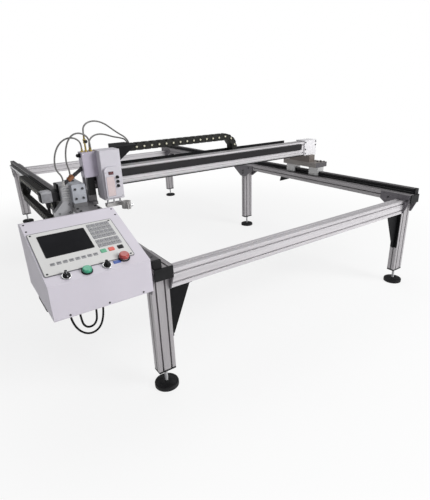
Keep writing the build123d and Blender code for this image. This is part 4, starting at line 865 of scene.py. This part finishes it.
# %% A row of links
def chain_row(shape, turn_at, level, lower, upper, along, beside):
    """Each link's centre and angle: 0 on the lower run, more in the bend, half a turn on the upper."""
    bend = (np.arange(turn_links) + 0.5) * np.pi / turn_links - np.pi / 2
    back_low = turn_at - (np.arange(lower) + 0.5) * link_pitch
    back_high = turn_at - (np.arange(upper) + 0.5) * link_pitch
    run = np.concatenate([back_low, turn_at + turn_radius * np.cos(bend), back_high])
    rise = level + np.concatenate([0 * back_low, turn_radius * (1 + np.sin(bend)),
                                   0 * back_high + 2 * turn_radius])
    angle = np.concatenate([0 * back_low, bend + np.pi / 2, 0 * back_high + np.pi])
    along, up = np.array(along, float), np.array([0, 0, 1.0])
    ahead = np.cos(angle)[:, None] * along + np.sin(angle)[:, None] * up
    over = np.cos(angle)[:, None] * up - np.sin(angle)[:, None] * along
    across = np.broadcast_to(np.cross(along, up), ahead.shape)
    centre = run[:, None] * along + rise[:, None] * up + np.array(beside, float)
    points = np.einsum("nk,lkj->lnj", shape[0], np.stack([ahead, over, across], axis=1)) + centre[:, None]
    return points.reshape(-1, 3), counted_on(shape[1], len(run), len(shape[0]))


def follow(piece, fixed, moving, fixed_end, turn_at, moving_end, level, along):
    """Bakes the piece's transform into its mesh and reads its points; no blend weight is set."""
    along = np.array(along, float)
    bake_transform(piece)
    points = np.empty(3 * len(piece.data.vertices), np.float32)
    piece.data.vertices.foreach_get("co", points)
    points = points.reshape(-1, 3)


# %% The long chain and the cross chain
long_row = dict(turn_at=0.82496, level=0.493, lower=38, upper=27, along=(0, 1, 0), beside=(-0.8475, 0, 0))
cross_row = dict(turn_at=0.33103, level=0.868, lower=4, upper=15, along=(1, 0, 0), beside=(0, -0.709, 0))
for name, row, width, fixed, moving in (("long_chain", long_row, 0.052, "frame", "gantry"),
                                        ("cross_chain", cross_row, 0.07, "gantry", "torch")):
    turn_at = row["turn_at"]
    ends = (turn_at - row["lower"] * link_pitch, turn_at, turn_at - row["upper"] * link_pitch)
    links = add_piece(name + "_links", chain_row(chain_link(width), **row), chain_plastic, None,
                      "black_plastic", name)
    pins = add_piece(name + "_pins", chain_row(chain_pins(width), **row), pin_white, None, "light_paint")
    for piece in (links, pins):
        follow(piece, fixed, moving, *ends, row["level"], row["along"])

# %% [markdown]
# ## Floor and light
# A plain pale floor, a soft sky and three large lamps. Lamps of some metres give the soft shadows of a
# studio. The camera sees a white surround, but the surround lights the machine with a quarter of that, so
# that the lamps can model its sides. Far from the machine the floor is white to the camera and in
# reflections, and near it some of the floor's own colour comes through, with the machine's shadow on it.


# %% One look for some rays, another for the rest
def seen_by(tree, first, second):
    """A socket that is 1 for rays of two kinds and 0 for all others."""
    rays = add_node(tree, "LightPath", {}).outputs
    return add_node(tree, "Math", {0: rays[first], 1: rays[second]}, operation="MAXIMUM").outputs[0]


def show_mix(tree, share, plain, shown, output):
    """The plain and the shown shader, mixed by a share, become the tree's surface."""
    mix = add_node(tree, "MixShader", {0: share, 1: plain.outputs[0], 2: shown.outputs[0]})
    fill(tree, tree.nodes[output], {"Surface": mix.outputs[0]})


# %% Floor
reach, near, distant, near_share = 30, 1.2, 3.6, 0.78
floor_corners = [(-reach, -reach, 0), (reach, -reach, 0), (reach, reach, 0), (-reach, reach, 0)]
floor_mesh = bpy.data.meshes.new("floor")
floor_mesh.from_pydata(floor_corners, [], [(0, 1, 2, 3)])
floor = put("floor", floor_mesh)
floor_paint = bpy.data.materials.new("floor_paint")
floor_paint.use_nodes = True
tree = floor_paint.node_tree
matt, glow = tree.nodes["Principled BSDF"], add_node(tree, "Emission", {})
fill(tree, matt, {"Base Color": (0.74, 0.74, 0.74, 1), "Roughness": 0.9})
place = add_node(tree, "TexCoord", {})
away = add_node(tree, "VectorMath", {0: place.outputs["Object"]}, operation="LENGTH")
far = add_node(tree, "MapRange", {"Value": away.outputs["Value"], "From Min": near, "From Max": distant,
                                  "To Min": near_share}, interpolation_type="SMOOTHSTEP")
seen = seen_by(tree, "Is Camera Ray", "Is Glossy Ray")
share = add_node(tree, "Math", {0: seen, 1: far.outputs["Result"]}, operation="MULTIPLY")
show_mix(tree, share.outputs[0], matt, glow, "Material Output")
floor.data.materials.append(floor_paint)
print("floor", 2 * reach, "m wide")

# %% Sky
sky_strength = 0.25
world = bpy.data.worlds.new("studio")
bpy.context.scene.world = world
world.use_nodes = True
tree = world.node_tree
sky, white = tree.nodes["Background"], add_node(tree, "Background", {"Color": (1, 1, 1, 1)})
fill(tree, sky, {"Color": (0.97, 0.98, 1.0, 1), "Strength": sky_strength})
show_mix(tree, seen_by(tree, "Is Camera Ray", "Is Transmission Ray"), sky, white, "World Output")
print("sky", sky_strength)


# %% Lamps
def lamp(name, place, aim, size, power):
    """A square area lamp at a place, turned to face a point."""
    light = bpy.data.lights.new(name, "AREA")
    light.size = size
    light.energy = power
    back = np.array(place, float) - np.array(aim, float)
    back = back / np.linalg.norm(back)
    across = np.cross((0, 0, 1), back)
    across = across / np.linalg.norm(across)
    stand(put(name, light), [across, np.cross(back, across), back], place)
    print(name, power, "W")


lamp("key", (3.0, -6.2, 3.4), (0.0, -0.6, 0.6), 3.0, 330)
lamp("fill", (-4.8, -4.5, 3.0), (-0.4, -0.8, 0.6), 3.0, 20)
lamp("overhead", (0.6, 0.4, 5.4), (0.0, 0.0, 0.6), 3.5, 100)

# %% Close
bpy.context.scene.view_settings.view_transform = "Standard"
